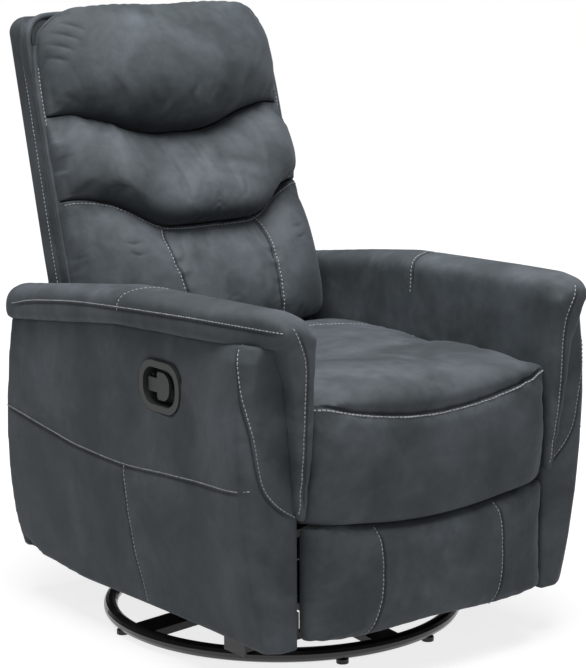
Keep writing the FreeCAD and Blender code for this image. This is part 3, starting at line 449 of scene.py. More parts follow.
# %% [markdown]
# ## Topstitching
# Beside each seam runs a row of light thread, one short stitch after another. Hundreds of stitches
# are too many to place by hand, and a striped texture would lie flat. Geometry Nodes suit this: the
# tree turns a path into a curve, spaces points along it, puts a short rod on each and turns it along
# the path, with a small chance change in size from a fixed seed. The rows are noted first and sewn at
# the end, one mesh of thread for each moving body.

# %% Stitch tree
STITCH_SIDES = 6


def stitch_tree(material):
    """A node tree that lays short stitches of thread along an edge path."""
    tree = bpy.data.node_groups.new("topstitch", "GeometryNodeTree")
    face = tree.interface
    face.new_socket("Geometry", in_out="INPUT", socket_type="NodeSocketGeometry")
    for name, value in (("Stitch pitch", 0.008), ("Stitch length", 0.006), ("Thread radius", 0.0008)):
        socket = face.new_socket(name, in_out="INPUT", socket_type="NodeSocketFloat")
        socket.default_value = value
    seed = face.new_socket("Seed", in_out="INPUT", socket_type="NodeSocketInt")
    seed.default_value = 7
    face.new_socket("Geometry", in_out="OUTPUT", socket_type="NodeSocketGeometry")
    nodes = tree.nodes
    link = tree.links.new
    start = nodes.new("NodeGroupInput")
    to_curve = nodes.new("GeometryNodeMeshToCurve")
    space = nodes.new("GeometryNodeResampleCurve")
    space.mode = "LENGTH"
    tangent = nodes.new("GeometryNodeInputTangent")
    align = nodes.new("FunctionNodeAlignRotationToVector")
    align.axis = "Z"
    thread = nodes.new("GeometryNodeMeshCylinder")
    thread.fill_type = "TRIANGLE_FAN"
    thread.inputs["Vertices"].default_value = STITCH_SIDES
    place = nodes.new("GeometryNodeInstanceOnPoints")
    wobble = nodes.new("FunctionNodeRandomValue")
    wobble.data_type = "FLOAT_VECTOR"
    wobble.inputs["Min"].default_value = (0.85, 0.85, 0.88)
    wobble.inputs["Max"].default_value = (1.15, 1.15, 1.06)
    real = nodes.new("GeometryNodeRealizeInstances")
    paint = nodes.new("GeometryNodeSetMaterial")
    paint.inputs["Material"].default_value = material
    finish = nodes.new("NodeGroupOutput")
    link(start.outputs["Geometry"], to_curve.inputs["Mesh"])
    link(to_curve.outputs["Curve"], space.inputs["Curve"])
    link(start.outputs["Stitch pitch"], space.inputs["Length"])
    link(space.outputs["Curve"], place.inputs["Points"])
    link(tangent.outputs["Tangent"], align.inputs["Vector"])
    link(align.outputs["Rotation"], place.inputs["Rotation"])
    link(start.outputs["Thread radius"], thread.inputs["Radius"])
    link(start.outputs["Stitch length"], thread.inputs["Depth"])
    link(thread.outputs["Mesh"], place.inputs["Instance"])
    link(start.outputs["Seed"], wobble.inputs["Seed"])
    link(wobble.outputs["Value"], place.inputs["Scale"])
    link(place.outputs["Instances"], real.inputs["Geometry"])
    link(real.outputs["Geometry"], paint.inputs["Geometry"])
    link(paint.outputs["Geometry"], finish.inputs["Geometry"])
    return tree


print("a stitch has", STITCH_SIDES, "sides")

# %% Note the rows and sew them
THREAD_LIFT = 0.0005
FINE_THREAD = {"Stitch pitch": 0.0074, "Stitch length": 0.0052, "Thread radius": 0.00095}
BOLD_THREAD = {"Stitch pitch": 0.0078, "Stitch length": 0.0062, "Thread radius": 0.0014}
stitch_rows = {}


def stitch(body, path, bold=False):
    """Notes a row of stitches along a path in metres, to be sewn later on that body."""
    stitch_rows.setdefault((body, bold), []).append(np.array(path))


def sewn_seam(piece, body, path, look, valley, aside, lift=THREAD_LIFT, bold=False):
    """Presses a seam into a piece along a path and notes a row of stitches beside it."""
    seam = lay_on(piece, path, look)
    press_seam(piece, seam, *valley)
    stitch(body, lay_on(piece, seam, look, lift, aside), bold)


def path_mesh(rows):
    """One mesh of edges only, with a chain of edges for each row of points."""
    edges = []
    first = 0
    for row in rows:
        edges += [(first + k, first + k + 1) for k in range(len(row) - 1)]
        first += len(row)
    mesh = bpy.data.meshes.new("stitch_path")
    mesh.from_pydata([tuple(p) for p in np.concatenate(rows)], edges, [])
    return mesh


def sew_all(tree):
    """Makes the noted rows into one mesh of thread for each body."""
    for (body, bold), rows in sorted(stitch_rows.items(), key=lambda item: item[0]):
        name = body + ("_bold_stitches" if bold else "_stitches")
        piece = bpy.data.objects.new(name, path_mesh(rows))
        scene.collection.objects.link(piece)
        sewing = piece.modifiers.new("sewing", "NODES")
        sewing.node_group = tree
        sizes = BOLD_THREAD if bold else FINE_THREAD
        for item in tree.interface.items_tree:
            if item.item_type == "SOCKET" and item.in_out == "INPUT" and item.name in sizes:
                sewing[item.identifier] = sizes[item.name]
        done = bpy.data.meshes.new_from_object(piece.evaluated_get(bpy.context.evaluated_depsgraph_get()))
        piece.modifiers.remove(sewing)
        piece.data = done
        done.shade_smooth()
        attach(piece, body)
        print(name, "stitches:", len(done.vertices) // (2 * STITCH_SIDES + 2))


print("stitches follow each other every", FINE_THREAD["Stitch pitch"] / MM, "mm")

# %% [markdown]
# ## Building finishes
# A finish is a Principled shader fed by noise. Noise read on Object coordinates keeps its real size
# on every piece, needs no unwrapping and has no joins, so it is used here in place of pictures. Ramps
# turn the noise into colours, Mix nodes lay one over another, and Bump nodes raise a fine grain.

# %% Material tools
def new_material(name):
    """An empty node material, its nodes, its link function and its shader."""
    material = bpy.data.materials.new(name)
    material.use_nodes = True
    nodes = material.node_tree.nodes
    return material, nodes, material.node_tree.links.new, nodes["Principled BSDF"]


def noise(nodes, link, scale, detail, rough=0.5, distort=0.0, stretch=(1, 1, 1)):
    """Noise on Object coordinates; scale is in cells to the metre."""
    where = nodes.new("ShaderNodeTexCoord")
    mapping = nodes.new("ShaderNodeMapping")
    mapping.inputs["Scale"].default_value = stretch
    texture = nodes.new("ShaderNodeTexNoise")
    texture.inputs["Scale"].default_value = scale
    texture.inputs["Detail"].default_value = detail
    texture.inputs["Roughness"].default_value = rough
    texture.inputs["Distortion"].default_value = distort
    link(where.outputs["Object"], mapping.inputs["Vector"])
    link(mapping.outputs["Vector"], texture.inputs["Vector"])
    return texture.outputs["Fac"]


def ramp(nodes, link, source, stops):
    """A colour ramp over (place, colour) stops."""
    node = nodes.new("ShaderNodeValToRGB")
    elements = node.color_ramp.elements
    while len(elements) < len(stops):
        elements.new(0.5)
    for element, (place, colour) in zip(elements, stops):
        element.position = place
        element.color = tuple(colour) + (1.0,)
    link(source, node.inputs["Fac"])
    return node.outputs["Color"]


def mixed(nodes, link, kind, factor, a, b):
    """Two colours mixed; each of factor, a and b may be a value or a socket."""
    node = nodes.new("ShaderNodeMix")
    node.data_type = "RGBA"
    node.blend_type = kind
    for name, source in (("Factor", factor), ("A", a), ("B", b)):
        socket = node.inputs[name]
        if isinstance(source, bpy.types.NodeSocket):
            link(source, socket)
        elif socket.type == "RGBA":
            socket.default_value = tuple(source) + (1.0,)
        else:
            socket.default_value = source
    return node.outputs["Result"]


def add_bump(nodes, link, shader, sources):
    """Stacks bumps from (height socket, strength, distance) rows onto a shader."""
    normal = None
    for height, strength, distance in sources:
        bump = nodes.new("ShaderNodeBump")
        bump.inputs["Strength"].default_value = strength
        bump.inputs["Distance"].default_value = distance
        link(height, bump.inputs["Height"])
        if normal:
            link(normal, bump.inputs["Normal"])
        normal = bump.outputs["Normal"]
    link(normal, shader.inputs["Normal"])


def ranged(nodes, link, source, low, high):
    """A value from 0 to 1 stretched to run from low to high."""
    node = nodes.new("ShaderNodeMapRange")
    node.inputs["To Min"].default_value = low
    node.inputs["To Max"].default_value = high
    link(source, node.inputs["Value"])
    return node.outputs["Result"]


print("materials before the chair's own:", len(bpy.data.materials))

# %% [markdown]
# ## The cover's finish
# The cover is a faux suede, a cloth with a short nap. Where the nap lies another way it looks lighter
# or darker, so the chair shows broad soft patches with finer smudges inside them. One flat colour
# would look like plastic. Noise at several scales gives the patches, the finest ones drive a small
# bump, and sheen on the shader gives the soft light that a nap shows along its edges.

# %% Suede
PATCHES = 7.0            # cells to the metre, from the broadest to the finest
SMUDGES = 38.0
PEBBLES = 260.0
NAP = 900.0
SMUDGE_GREYS = [(0.3, (0.78, 0.78, 0.78)), (0.7, (1.2, 1.2, 1.2))]
NAP_GREYS = [(0.35, (0.88, 0.88, 0.88)), (0.68, (1.1, 1.1, 1.1))]
SMUDGE_SHARE = 0.75
NAP_SHARE = 0.55
# the dark grey that the cloth is mixed towards in seams, creases and wrinkles: painted shade
PAINTED_SHADE_GREY = (0.22, 0.22, 0.23)
SHEEN_TINT = (0.72, 0.8, 0.9, 1.0)


def suede(name, dark, light):
    """Faux suede with patches of nap between two colours, and painted shade in its seams, creases and
    wrinkles.
    """
    material, nodes, link, shader = new_material(name)
    broad = noise(nodes, link, PATCHES, 3.0, 0.55, 0.6)
    smudge = noise(nodes, link, SMUDGES, 5.0, 0.6, 0.4)
    fine = noise(nodes, link, NAP, 3.0, 0.6)
    pebble = noise(nodes, link, PEBBLES, 4.0, 0.55)
    base = ramp(nodes, link, broad, [(0.36, dark), (0.64, light)])
    patched = mixed(nodes, link, "MULTIPLY", SMUDGE_SHARE, base, ramp(nodes, link, smudge, SMUDGE_GREYS))
    napped = mixed(nodes, link, "MULTIPLY", NAP_SHARE, patched, ramp(nodes, link, fine, NAP_GREYS))
    # The "seam" attribute carries painted shade: where it is high, the cloth is mixed towards a dark grey.
    seam = nodes.new("ShaderNodeAttribute")
    seam.attribute_name = "seam"
    colour = mixed(nodes, link, "MULTIPLY", seam.outputs["Fac"], napped, PAINTED_SHADE_GREY)
    link(colour, shader.inputs["Base Color"])
    link(ranged(nodes, link, smudge, 0.62, 0.82), shader.inputs["Roughness"])
    shader.inputs["Specular IOR Level"].default_value = 0.35
    shader.inputs["Sheen Weight"].default_value = 0.12
    shader.inputs["Sheen Roughness"].default_value = 0.45
    shader.inputs["Sheen Tint"].default_value = SHEEN_TINT
    add_bump(nodes, link, shader, [(pebble, 0.25, 0.0006), (fine, 0.3, 0.0003), (smudge, 0.35, 0.0016)])
    return material


SUEDE_DARK = (0.056, 0.067, 0.074)
SUEDE_LIGHT = (0.108, 0.124, 0.14)
# The gusset cloth is the suede made darker: painted shade for the deep gaps where it is used.
SHADED_GUSSET_DARK = (0.03, 0.036, 0.04)
SHADED_GUSSET_LIGHT = (0.045, 0.052, 0.058)
cover = suede("slate_suede", SUEDE_DARK, SUEDE_LIGHT)
shaded_gusset = suede("gusset_cloth", SHADED_GUSSET_DARK, SHADED_GUSSET_LIGHT)
print("suede made of", len(cover.node_tree.nodes), "nodes")

# %% [markdown]
# ## Paint, plastic, steel, thread and wood
# The ring is painted glossy black, its cross bars a duller black. The handle is dark plastic, the
# hidden mechanism is dull steel with bright pins, and the frames are plywood. Real parts are never of
# one even tone, so one function gives each of them a faint mottling and a fine grain, and the wood has
# noise that is stretched along its grain.

# %% Plain finishes and wood
def plain_finish(name, colour, roughness, metallic=0.0, scale=300.0, bump=0.0002, coat=0.0, vary=0.12):
    """Paint, plastic, steel or thread: one colour with slight mottling and grain."""
    material, nodes, link, shader = new_material(name)
    grain = noise(nodes, link, scale, 4.0)
    patches = noise(nodes, link, scale / 12, 3.0)
    low = tuple(c * (1 - vary) for c in colour)
    high = tuple(c * (1 + vary) for c in colour)
    link(ramp(nodes, link, patches, [(0.3, low), (0.7, high)]), shader.inputs["Base Color"])
    uneven = ranged(nodes, link, grain, roughness * 0.85, min(1.0, roughness * 1.2))
    link(uneven, shader.inputs["Roughness"])
    shader.inputs["Metallic"].default_value = metallic
    shader.inputs["Coat Weight"].default_value = coat
    add_bump(nodes, link, shader, [(grain, 0.4, bump)])
    return material


def wood(name):
    """Pale plywood with long grain."""
    material, nodes, link, shader = new_material(name)
    grain = noise(nodes, link, 9.0, 6.0, 0.6, 1.2, stretch=(3, 1, 14))
    link(ramp(nodes, link, grain, [(0.3, (0.36, 0.23, 0.12)), (0.7, (0.62, 0.45, 0.27))]),
         shader.inputs["Base Color"])
    shader.inputs["Roughness"].default_value = 0.6
    add_bump(nodes, link, shader, [(grain, 0.3, 0.0004)])
    return material


thread = plain_finish("grey_thread", (0.42, 0.44, 0.46), 0.7, scale=900.0, vary=0.2)
ring_paint = plain_finish("ring_paint", (0.006, 0.006, 0.006), 0.3, scale=700.0, bump=0.00008, coat=0.4)
bar_paint = plain_finish("bar_paint", (0.008, 0.008, 0.008), 0.42, scale=500.0)
black_plastic = plain_finish("black_plastic", (0.013, 0.014, 0.015), 0.45, scale=1200.0)
handle_plastic = plain_finish("handle_plastic", (0.03, 0.034, 0.033), 0.5, scale=1200.0)
steel = plain_finish("mechanism_steel", (0.05, 0.05, 0.052), 0.4, metallic=0.6, scale=200.0)
bright_steel = plain_finish("pin_steel", (0.45, 0.45, 0.46), 0.35, metallic=1.0, scale=400.0)
webbing = plain_finish("webbing", (0.1, 0.09, 0.08), 0.8, scale=900.0)
timber = wood("frame_wood")
print("finishes:", len(bpy.data.materials))

# %% [markdown]
# ## Places on the leaning back
# The back leans 16 degrees, so x, y and z are awkward there. A place is given instead as s, the way up
# the rear face, and w, the way forward from it. An empty that is tilted with the back could carry the
# pieces, but a finished piece keeps its place in its mesh, so a function turns s and w into y and z.
# Tables run from the middle outwards, because the back is the same on both sides.

# %% The back's own measures
BACK_FOOT = (352.0, 598.0)
BACK_LEAN = math.radians(16.1)
BOARD_W = 58.3
SIDE_W = 68.0
UPPER_CREASE = ((0, 252), (60, 253), (107, 264), (150, 281), (187, 291), (230, 299), (275, 298))
LOWER_CREASE = ((0, 67), (60, 67), (105, 72), (130, 84), (150, 98), (180, 116), (215, 130), (250, 139),
                (276, 139))
HEAD_TOP = ((0, 498), (150, 498), (200, 492), (235, 476), (256, 444), (264, 404))
LOWER_HEM = ((0, -148), (100, -146), (200, -138), (276, -122))


def on_back(x, s, w):
    """The point at x, s and w of the back, in millimetres."""
    x, s, w = np.broadcast_arrays(x, s, w)
    y = BACK_FOOT[0] + math.sin(BACK_LEAN) * s - math.cos(BACK_LEAN) * w
    z = BACK_FOOT[1] + math.cos(BACK_LEAN) * s + math.sin(BACK_LEAN) * w
    return np.stack([x, y, z], axis=-1)


print("the back's top at its middle:", on_back(0, HEAD_TOP[0][1], SIDE_W).round(1))

# %% [markdown]
# ## The back's three pillows
# The head pillow hangs over the lumbar pillow, and that one over the low pad. They meet in two deep
# creases that dip in the middle. Three balls of cloth would need collisions to press on each other.
# Here each pillow is a slab that ends at the creases, with seams drawn in deep there and a belly
# between them, so the simulation only has to round it and wrinkle it.

# %% Build a pillow
PILLOW_ROWS = 56
PILLOW_COLUMNS = 104
CREASE_GAP = 0.6         # room between a pillow and the crease
BACK_DRAW = 3.0          # how much smaller the face on the board is
SIDE_POWER = 8           # higher keeps a pillow full until nearer its sides
SIDE_ROUND = 1 / 2.3
SWELL_ROUND = 0.62
TOUCHING = 0.0001        # in metres


def held_points(piece, front):
    """True for each point of a piece that isn't within the outer face, whose grid is given."""
    rows, columns = front.shape[:2]
    tree = point_tree(front.reshape(-1, 3) * MM)
    held = np.ones(len(piece.data.vertices), bool)
    for index, vert in enumerate(piece.data.vertices):
        _, k, gap = tree.find(vert.co)
        i, j = divmod(k, columns)
        held[index] = gap > TOUCHING or i in (0, rows - 1) or j in (0, columns - 1)
    return held


def back_pillow(name, half_width, seams, seams_out, belly, lean, slack, cap):
    """A pillow between a low and a high seam: seams gives their s, seams_out how far out they lie."""
    a = np.linspace(-1, 1, PILLOW_COLUMNS)[None, :]
    v = np.linspace(0, 1, PILLOW_ROWS)[:, None]
    x = half_width * a
    low_s = eased(seams[0], x) + CREASE_GAP
    high_s = eased(seams[1], x) - CREASE_GAP
    edge = (1 - np.abs(a) ** SIDE_POWER) ** SIDE_ROUND
    swell = (4 * v ** lean * (1 - v ** lean)) ** SWELL_ROUND
    reach = eased(seams_out[0], x) * (1 - v) + eased(seams_out[1], x) * v + eased(belly, x) * swell
    front = on_back(x + 0 * v, low_s + (high_s - low_s) * v, SIDE_W + (reach - SIDE_W) * edge)
    back_s = low_s + BACK_DRAW + (high_s - low_s - 2 * BACK_DRAW) * v
    back = on_back((half_width - BACK_DRAW) * a + 0 * v, back_s, BOARD_W)
    piece = slab(name, front, back)
    inflate(piece, held_points(piece, front), cap, slack)
    refine(piece)
    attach(piece, "backrest")
    return piece


print("a pillow's outer face has", PILLOW_ROWS * PILLOW_COLUMNS, "points before it is refined")

# %% The three pillows
HEAD_OUT = (((0, 92), (150, 88), (275, 76)), ((0, 108), (150, 104), (264, 84)))
HEAD_BELLY = ((0, 70), (130, 63), (215, 46), (264, 20))
LUMBAR_OUT = (((0, 147), (105, 144), (215, 116), (275, 96)), ((0, 91), (150, 87), (275, 74)))
LUMBAR_BELLY = ((0, 62), (130, 60), (215, 50), (270, 26))
LOWER_OUT = (((0, 180), (105, 178), (215, 154), (275, 116)), ((0, 145), (105, 142), (215, 114), (275, 95)))
LOWER_BELLY = ((0, 30), (130, 36), (215, 42), (273, 18))

head = back_pillow("head_cushion", 264, (UPPER_CREASE, HEAD_TOP), HEAD_OUT, HEAD_BELLY,
                   lean=0.66, slack=0.05, cap=18)
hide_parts("head_pillow")
lumbar = back_pillow("lumbar_cushion", 270, (LOWER_CREASE, UPPER_CREASE), LUMBAR_OUT, LUMBAR_BELLY,
                     lean=0.72, slack=0.06, cap=18)
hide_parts("lumbar_pillow")
lower = back_pillow("lower_cushion", 273, (LOWER_HEM, LOWER_CREASE), LOWER_OUT, LOWER_BELLY,
                    lean=1.0, slack=0.02, cap=14)
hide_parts("lower_back_pad")
for pillow in (head, lumbar, lower):
    print(pillow.name, "has", len(pillow.data.vertices), "points")

# %% [markdown]
# ## Painted shade in the creases
# Where two pillows meet, hardly any light gets in. The renderer darkens a crease by itself, but less
# than the photograph shows. So shade is painted there: the "seam" value, which paints shade into the
# cloth in seams, is also raised beside the creases: most in the middle and less at the sides.

# %% Shade the creases
CREASE_SHADE_ABOVE = 15.0
CREASE_SHADE_BELOW = 7.0
CREASE_FADE = 0.8
CREASE_HALF = 262


def shade_crease(piece, crease, reach):
    """Paints shade on a pillow's cover beside a crease, over some reach, and most in the middle."""
    co = corners_of(piece) / MM
    run = math.sin(BACK_LEAN) * (co[:, 1] - BACK_FOOT[0]) + math.cos(BACK_LEAN) * (co[:, 2] - BACK_FOOT[1])
    gap = np.abs(run - eased(crease, co[:, 0]))
    fade = 1 - CREASE_FADE * (np.abs(co[:, 0]) / CREASE_HALF) ** 2
    painted_shade = np.maximum(painted_shade_marks(piece), np.clip(fade, 0, 1) * np.exp(-(gap / reach) ** 2))
    set_painted_shade_marks(piece, painted_shade)


shade_crease(head, UPPER_CREASE, CREASE_SHADE_ABOVE)
shade_crease(lumbar, UPPER_CREASE, CREASE_SHADE_BELOW)
shade_crease(lumbar, LOWER_CREASE, CREASE_SHADE_ABOVE)
shade_crease(lower, LOWER_CREASE, CREASE_SHADE_BELOW)
print("points darkened on the lumbar pillow:", int((painted_shade_marks(lumbar) > 0.5).sum()))

# %% [markdown]
# ## Seams of the back
# The middle of the low pad is a panel of its own between two curved seams, with a firm bolster on
# each side. A row of stitches runs beside these seams, and one under the lower crease. The seams
# could be borders between separate meshes, but a valley in one mesh keeps the cover closed.

# %% Back seams
PANEL_SEAM = ((100, 66, 150), (109, 44, 168), (110, 4, 188), (106, -40, 200), (103, -90, 200),
              (103, -132, 190))
PANEL_VALLEY = (2.6, 2.6, 5.0, 15.0)     # depth, width, then depth and width of the pucker
PANEL_ASIDE = -0.0055
CREASE_STITCH_DROP = 9
FRONT_OF_BACK = 150.0
TO_BOARD = (0.0, math.cos(BACK_LEAN), -math.sin(BACK_LEAN))


def back_path(points, count, side=1):
    """A smooth path on the back from (x, s, w) rows, in metres."""
    curve = curve_through([(side * x, s, w) for x, s, w in points], count)
    return on_back(curve[:, 0], curve[:, 1], curve[:, 2]) * MM


for side in (-1, 1):
    sewn_seam(lower, "backrest", back_path(PANEL_SEAM, 120, side), TO_BOARD, PANEL_VALLEY, PANEL_ASIDE * side)
across = np.linspace(-264, 264, 300)
lower_line = on_back(across, eased(LOWER_CREASE, across) - CREASE_STITCH_DROP, FRONT_OF_BACK)
stitch("backrest", lay_on(lower, lower_line * MM, TO_BOARD, THREAD_LIFT))
print("rows of stitches on the back so far:", len(stitch_rows[("backrest", False)]))

# %% [markdown]
# ## Wrinkles
# A stuffed cover creases where its seams pull: under the upper crease, on the bolsters and at the
# head pillow's corners. The simulation gives broad folds and few sharp ones. The sharp ones are
# pressed in like seams, only shallower and wider, without thread and with fainter painted shade.

# %% Wrinkles of the back
LUMBAR_WRINKLES = ((22, 20, 44), (58, 14, 62), (92, 16, 54), (128, 18, 70), (160, 20, 40), (-70, 18, 46))
# depth, width, depth and width of the pucker, then the painted shade in the valley
LUMBAR_FOLD = (1.1, 3.4, 0.8, 8.0, 0.16)
LUMBAR_SLANT = 0.14
BOLSTER_WRINKLES = (((206, 44, 140), (190, 36, 150), (168, 38, 155)),
                    ((200, 22, 150), (186, 14, 155), (172, 16, 160)))
BOLSTER_FOLD = (1.3, 3.6, 1.0, 9.0, 0.2)
HEAD_PUCKERS = (((-246, 452), (-222, 440), (-200, 424)), ((-254, 430), (-232, 420), (-214, 406)),
                ((-232, 470), (-208, 458), (-186, 440)), ((-258, 404), (-240, 398), (-226, 388)))
HEAD_FOLD = (1.3, 3.2, 1.2, 8.0, 0.18)
FOLD_POINTS = 30
LUMBAR_FOLD_POINTS = 24


def press_fold(piece, path, fold):
    """Presses a wrinkle into a pillow of the back along a path in metres."""
    press_seam(piece, lay_on(piece, path, TO_BOARD), *fold)


for x, start, length in LUMBAR_WRINKLES:
    top = float(eased(UPPER_CREASE, x))
    fold_x = np.linspace(x, x + LUMBAR_SLANT * length, LUMBAR_FOLD_POINTS)
    fold_s = np.linspace(top - start, top - start - length, LUMBAR_FOLD_POINTS)
    press_fold(lumbar, on_back(fold_x, fold_s, 140.0) * MM, LUMBAR_FOLD)
for points in BOLSTER_WRINKLES:
    for side in (-1, 1):
        press_fold(lower, back_path(points, FOLD_POINTS, side), BOLSTER_FOLD)
for points in HEAD_PUCKERS:
    press_fold(head, back_path([(x, s, 120.0) for x, s in points], FOLD_POINTS), HEAD_FOLD)
print("wrinkles:", len(LUMBAR_WRINKLES) + 2 * len(BOLSTER_WRINKLES) + len(HEAD_PUCKERS))

# %% [markdown]
# ## Strips along the back's edge
# Between the pillows and the shell the chair shows a narrow stuffed strip of cover, and behind it a
# channel that turns inwards. A bevelled curve would make a strip, but its section would be round.
# Here rings with flattened sides are set along the path, so that one function makes both the narrow
# strip and the broad lining of the channel.

# %% Back edge strip
STRIP_SIDES = 12


def flattened(value):
    """A sine or cosine pushed outwards, which turns a ring into a soft square."""
    return abs(value) ** 0.5 * math.copysign(1, value)


def strip_along(name, path, half_wide, half_thick, facing):
    """A flat rounded strip along a path in metres; facing is the way its broad face looks."""
    path = np.array(path)
    along = np.gradient(path, axis=0)
    along /= np.linalg.norm(along, axis=1, keepdims=True)
    out = np.array(facing, float)
    out /= np.linalg.norm(out)
    side_way = np.cross(along, out)
    side_way /= np.linalg.norm(side_way, axis=1, keepdims=True)
    up = np.cross(side_way, along)
    points = []
    for k in range(STRIP_SIDES):
        turn = 2 * math.pi * k / STRIP_SIDES
        wide = half_wide * flattened(math.cos(turn))
        thick = half_thick * flattened(math.sin(turn))
        points.append(path + side_way * wide + up * thick)
    ring = np.stack(points, axis=1)
    faces = []
    for i in range(len(path) - 1):
        this, after = i * STRIP_SIDES, (i + 1) * STRIP_SIDES
        for k in range(STRIP_SIDES):
            n = (k + 1) % STRIP_SIDES
            faces.append((this + k, this + n, after + n, after + k))
    last = (len(path) - 1) * STRIP_SIDES
    faces.append(tuple(range(STRIP_SIDES)))
    faces.append(tuple(reversed(range(last, last + STRIP_SIDES))))
    return new_piece(name, ring.reshape(-1, 3), faces)


print("a strip has", STRIP_SIDES, "sides")

# %% Strips beside the pillows
STRIP_HALF = ((-257, 432), (-264, 395), (-268, 330), (-268, 200), (-268, 60), (-267, -95))
STRIP_W = 65.0
STRIP_POINTS = 260
STRIP_HALF_SIZE = 0.0065
STRIP_STITCH_IN = 2.0
STRIP_STITCH_W = 72.0
FORWARD = on_back(0, 0, 1) - on_back(0, 0, 0)
for side, label in ((1, "left"), (-1, "right")):
    edge_curve = curve_through([(-side * x, s) for x, s in STRIP_HALF], STRIP_POINTS)
    edge = on_back(edge_curve[:, 0], edge_curve[:, 1], STRIP_W) * MM
    strip = strip_along("back_edge_strip_" + label, edge, STRIP_HALF_SIZE, STRIP_HALF_SIZE, FORWARD)
    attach(strip, "backrest")
    stitch_x = edge_curve[:, 0] - side * STRIP_STITCH_IN
    stitch("backrest", on_back(stitch_x, edge_curve[:, 1], STRIP_STITCH_W) * MM)
    print(strip.name, "is", round(float(np.ptp(edge[:, 2])), 3), "m high")

# %% The channel behind them
GUSSET_HALF = ((0, 494), (90, 494), (205, 493), (240, 486), (258, 468), (266, 435), (266, 330), (266, 60),
               (266, -140))
GUSSET_PATH = tuple((-x, s) for x, s in reversed(GUSSET_HALF[1:])) + GUSSET_HALF
GUSSET_W = 46.0
GUSSET_POINTS = 400
GUSSET_HALF_WIDE = 0.006
GUSSET_HALF_THICK = 0.015
gusset_curve = curve_through(GUSSET_PATH, GUSSET_POINTS)
gusset_line = on_back(gusset_curve[:, 0], gusset_curve[:, 1], GUSSET_W) * MM
channel = strip_along("back_gusset", gusset_line, GUSSET_HALF_WIDE, GUSSET_HALF_THICK, FORWARD)
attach(channel, "backrest")
print(channel.name, "has", len(channel.data.polygons), "faces")

# %% Stitches down the shell's sides
SHELL_STITCH = ((277, -190), (277, 60), (277, 330), (272, 430))
SHELL_STITCH_W = 33.0
SIDE_LIFT = 0.0006
for side in (-1, 1):
    rim = curve_through([(side * x, s) for x, s in SHELL_STITCH], STRIP_POINTS)
    path = on_back(rim[:, 0], rim[:, 1], SHELL_STITCH_W) * MM
    stitch("backrest", lay_on(frame["nodes"]["back_shell"], path, (-side, 0.0, 0.0), SIDE_LIFT))
print("rows of stitches on the back:", len(stitch_rows[("backrest", False)]))

# %% [markdown]
# ## The seat
# The seat is one thick cushion. Its cover has a boxed front, a bold seam that rises to both sides, a
# rounded roll above it and a top that falls away under the back. A cube could be subdivided and pulled
# into that shape, but its outline from front to rear matters most. So the cushion is made of sections:
# at each x a curve runs from the hem, up the front and back along the top.

# %% The seat's section
SEAT_HALF = 260.0
DECK_Z = 328.3
APRON_Y = -400.3
FACE_Y = -449
SEAT_HEM = ((0, 275), (90, 279), (150, 286), (210, 293), (260, 298))
SEAT_TOP = ((0, 513), (150, 512), (220, 509), (260, 503))
SEAT_ROWS = 120
SEAT_COLUMNS = 96
SEAT_CORNER = 46.0
SEAT_CORNER_START = 188.0
SIDE_ROLL = 14
OVAL_VALLEY = ((0, -190), (120, -186), (195, -172), (235, -146), (260, -110))
SEAM_LOW = 459.5
SEAM_RISE = 45.0
SEAM_TOP = 496.0
SEAM_HALF = 258
SEAM_CURVE = 1.9


def front_seam_z(x):
    """Height of the bold seam across the seat's front."""
    return SEAM_LOW + SEAM_RISE * (np.abs(x) / SEAM_HALF) ** SEAM_CURVE


def seat_section(x):
    """The cushion's outer section at x, as (y, z) rows from the apron's hem to the rear."""
    hem = float(eased(SEAT_HEM, x))
    seam = min(float(front_seam_z(x)), SEAM_TOP)
    turn = max(0.0, (abs(x) - SEAT_CORNER_START) / (SEAT_HALF - SEAT_CORNER_START))
    corner = SEAT_CORNER * (1 - math.sqrt(max(0.0, 1 - turn ** 2)))
    roll = 1 - (1 - min(1.0, abs(x) / SEAT_HALF) ** 12) ** (1 / 2.4)
    top = float(eased(SEAT_TOP, x)) - SIDE_ROLL * roll
    valley = float(eased(OVAL_VALLEY, x))
    rise = top - seam
    face = FACE_Y + corner
    apron = ((APRON_Y, hem), (face + 26, hem - 1), (face + 10, hem + 7), (face + 2, hem + 40),
             (face - 2, (hem + seam) / 2), (face + 1, seam - 12), (face + 4, seam))
    front_roll = ((face + 1, seam + 0.32 * rise), (face + 14, seam + 0.72 * rise), (face + 44, top - 3),
                  (face + 84, top + 2), ((face + 84 + valley) / 2, top + 5))
    oval = ((valley - 22, top + 1), (valley, top - 3), (valley + 26, top - 1), (valley + 90, top + 1))
    rear = ((60, top), (135, top - 7), (170, top - 26), (183, top - 60), (184, 400), (184, DECK_Z + 8))
    return curve_through(apron + front_roll + oval + rear, SEAT_ROWS)


print("the bold seam rises from", SEAM_LOW, "to", round(float(front_seam_z(SEAT_HALF)), 1), "mm")

# %% Build the seat
SEAT_REAR_Y = 180
UNDER_TURN = 0.12        # the share of the underside's run that goes up behind the apron
UNDER_WIDTH = 0.99
SEAT_CAP = 6
SEAT_SLACK = 0.02


def seat_underside(x):
    """The cushion's inner face at x, from the hem up behind the apron and back over the deck."""
    hem = float(eased(SEAT_HEM, x))
    run = np.linspace(0, 1, SEAT_ROWS)
    y = np.interp(run, [0, UNDER_TURN, 1], [APRON_Y + 0.2, APRON_Y + 0.2, SEAT_REAR_Y])
    z = np.interp(run, [0, UNDER_TURN, 1], [hem + 2, DECK_Z, DECK_Z])
    return np.stack([np.full_like(y, x * UNDER_WIDTH), y, z], axis=1)


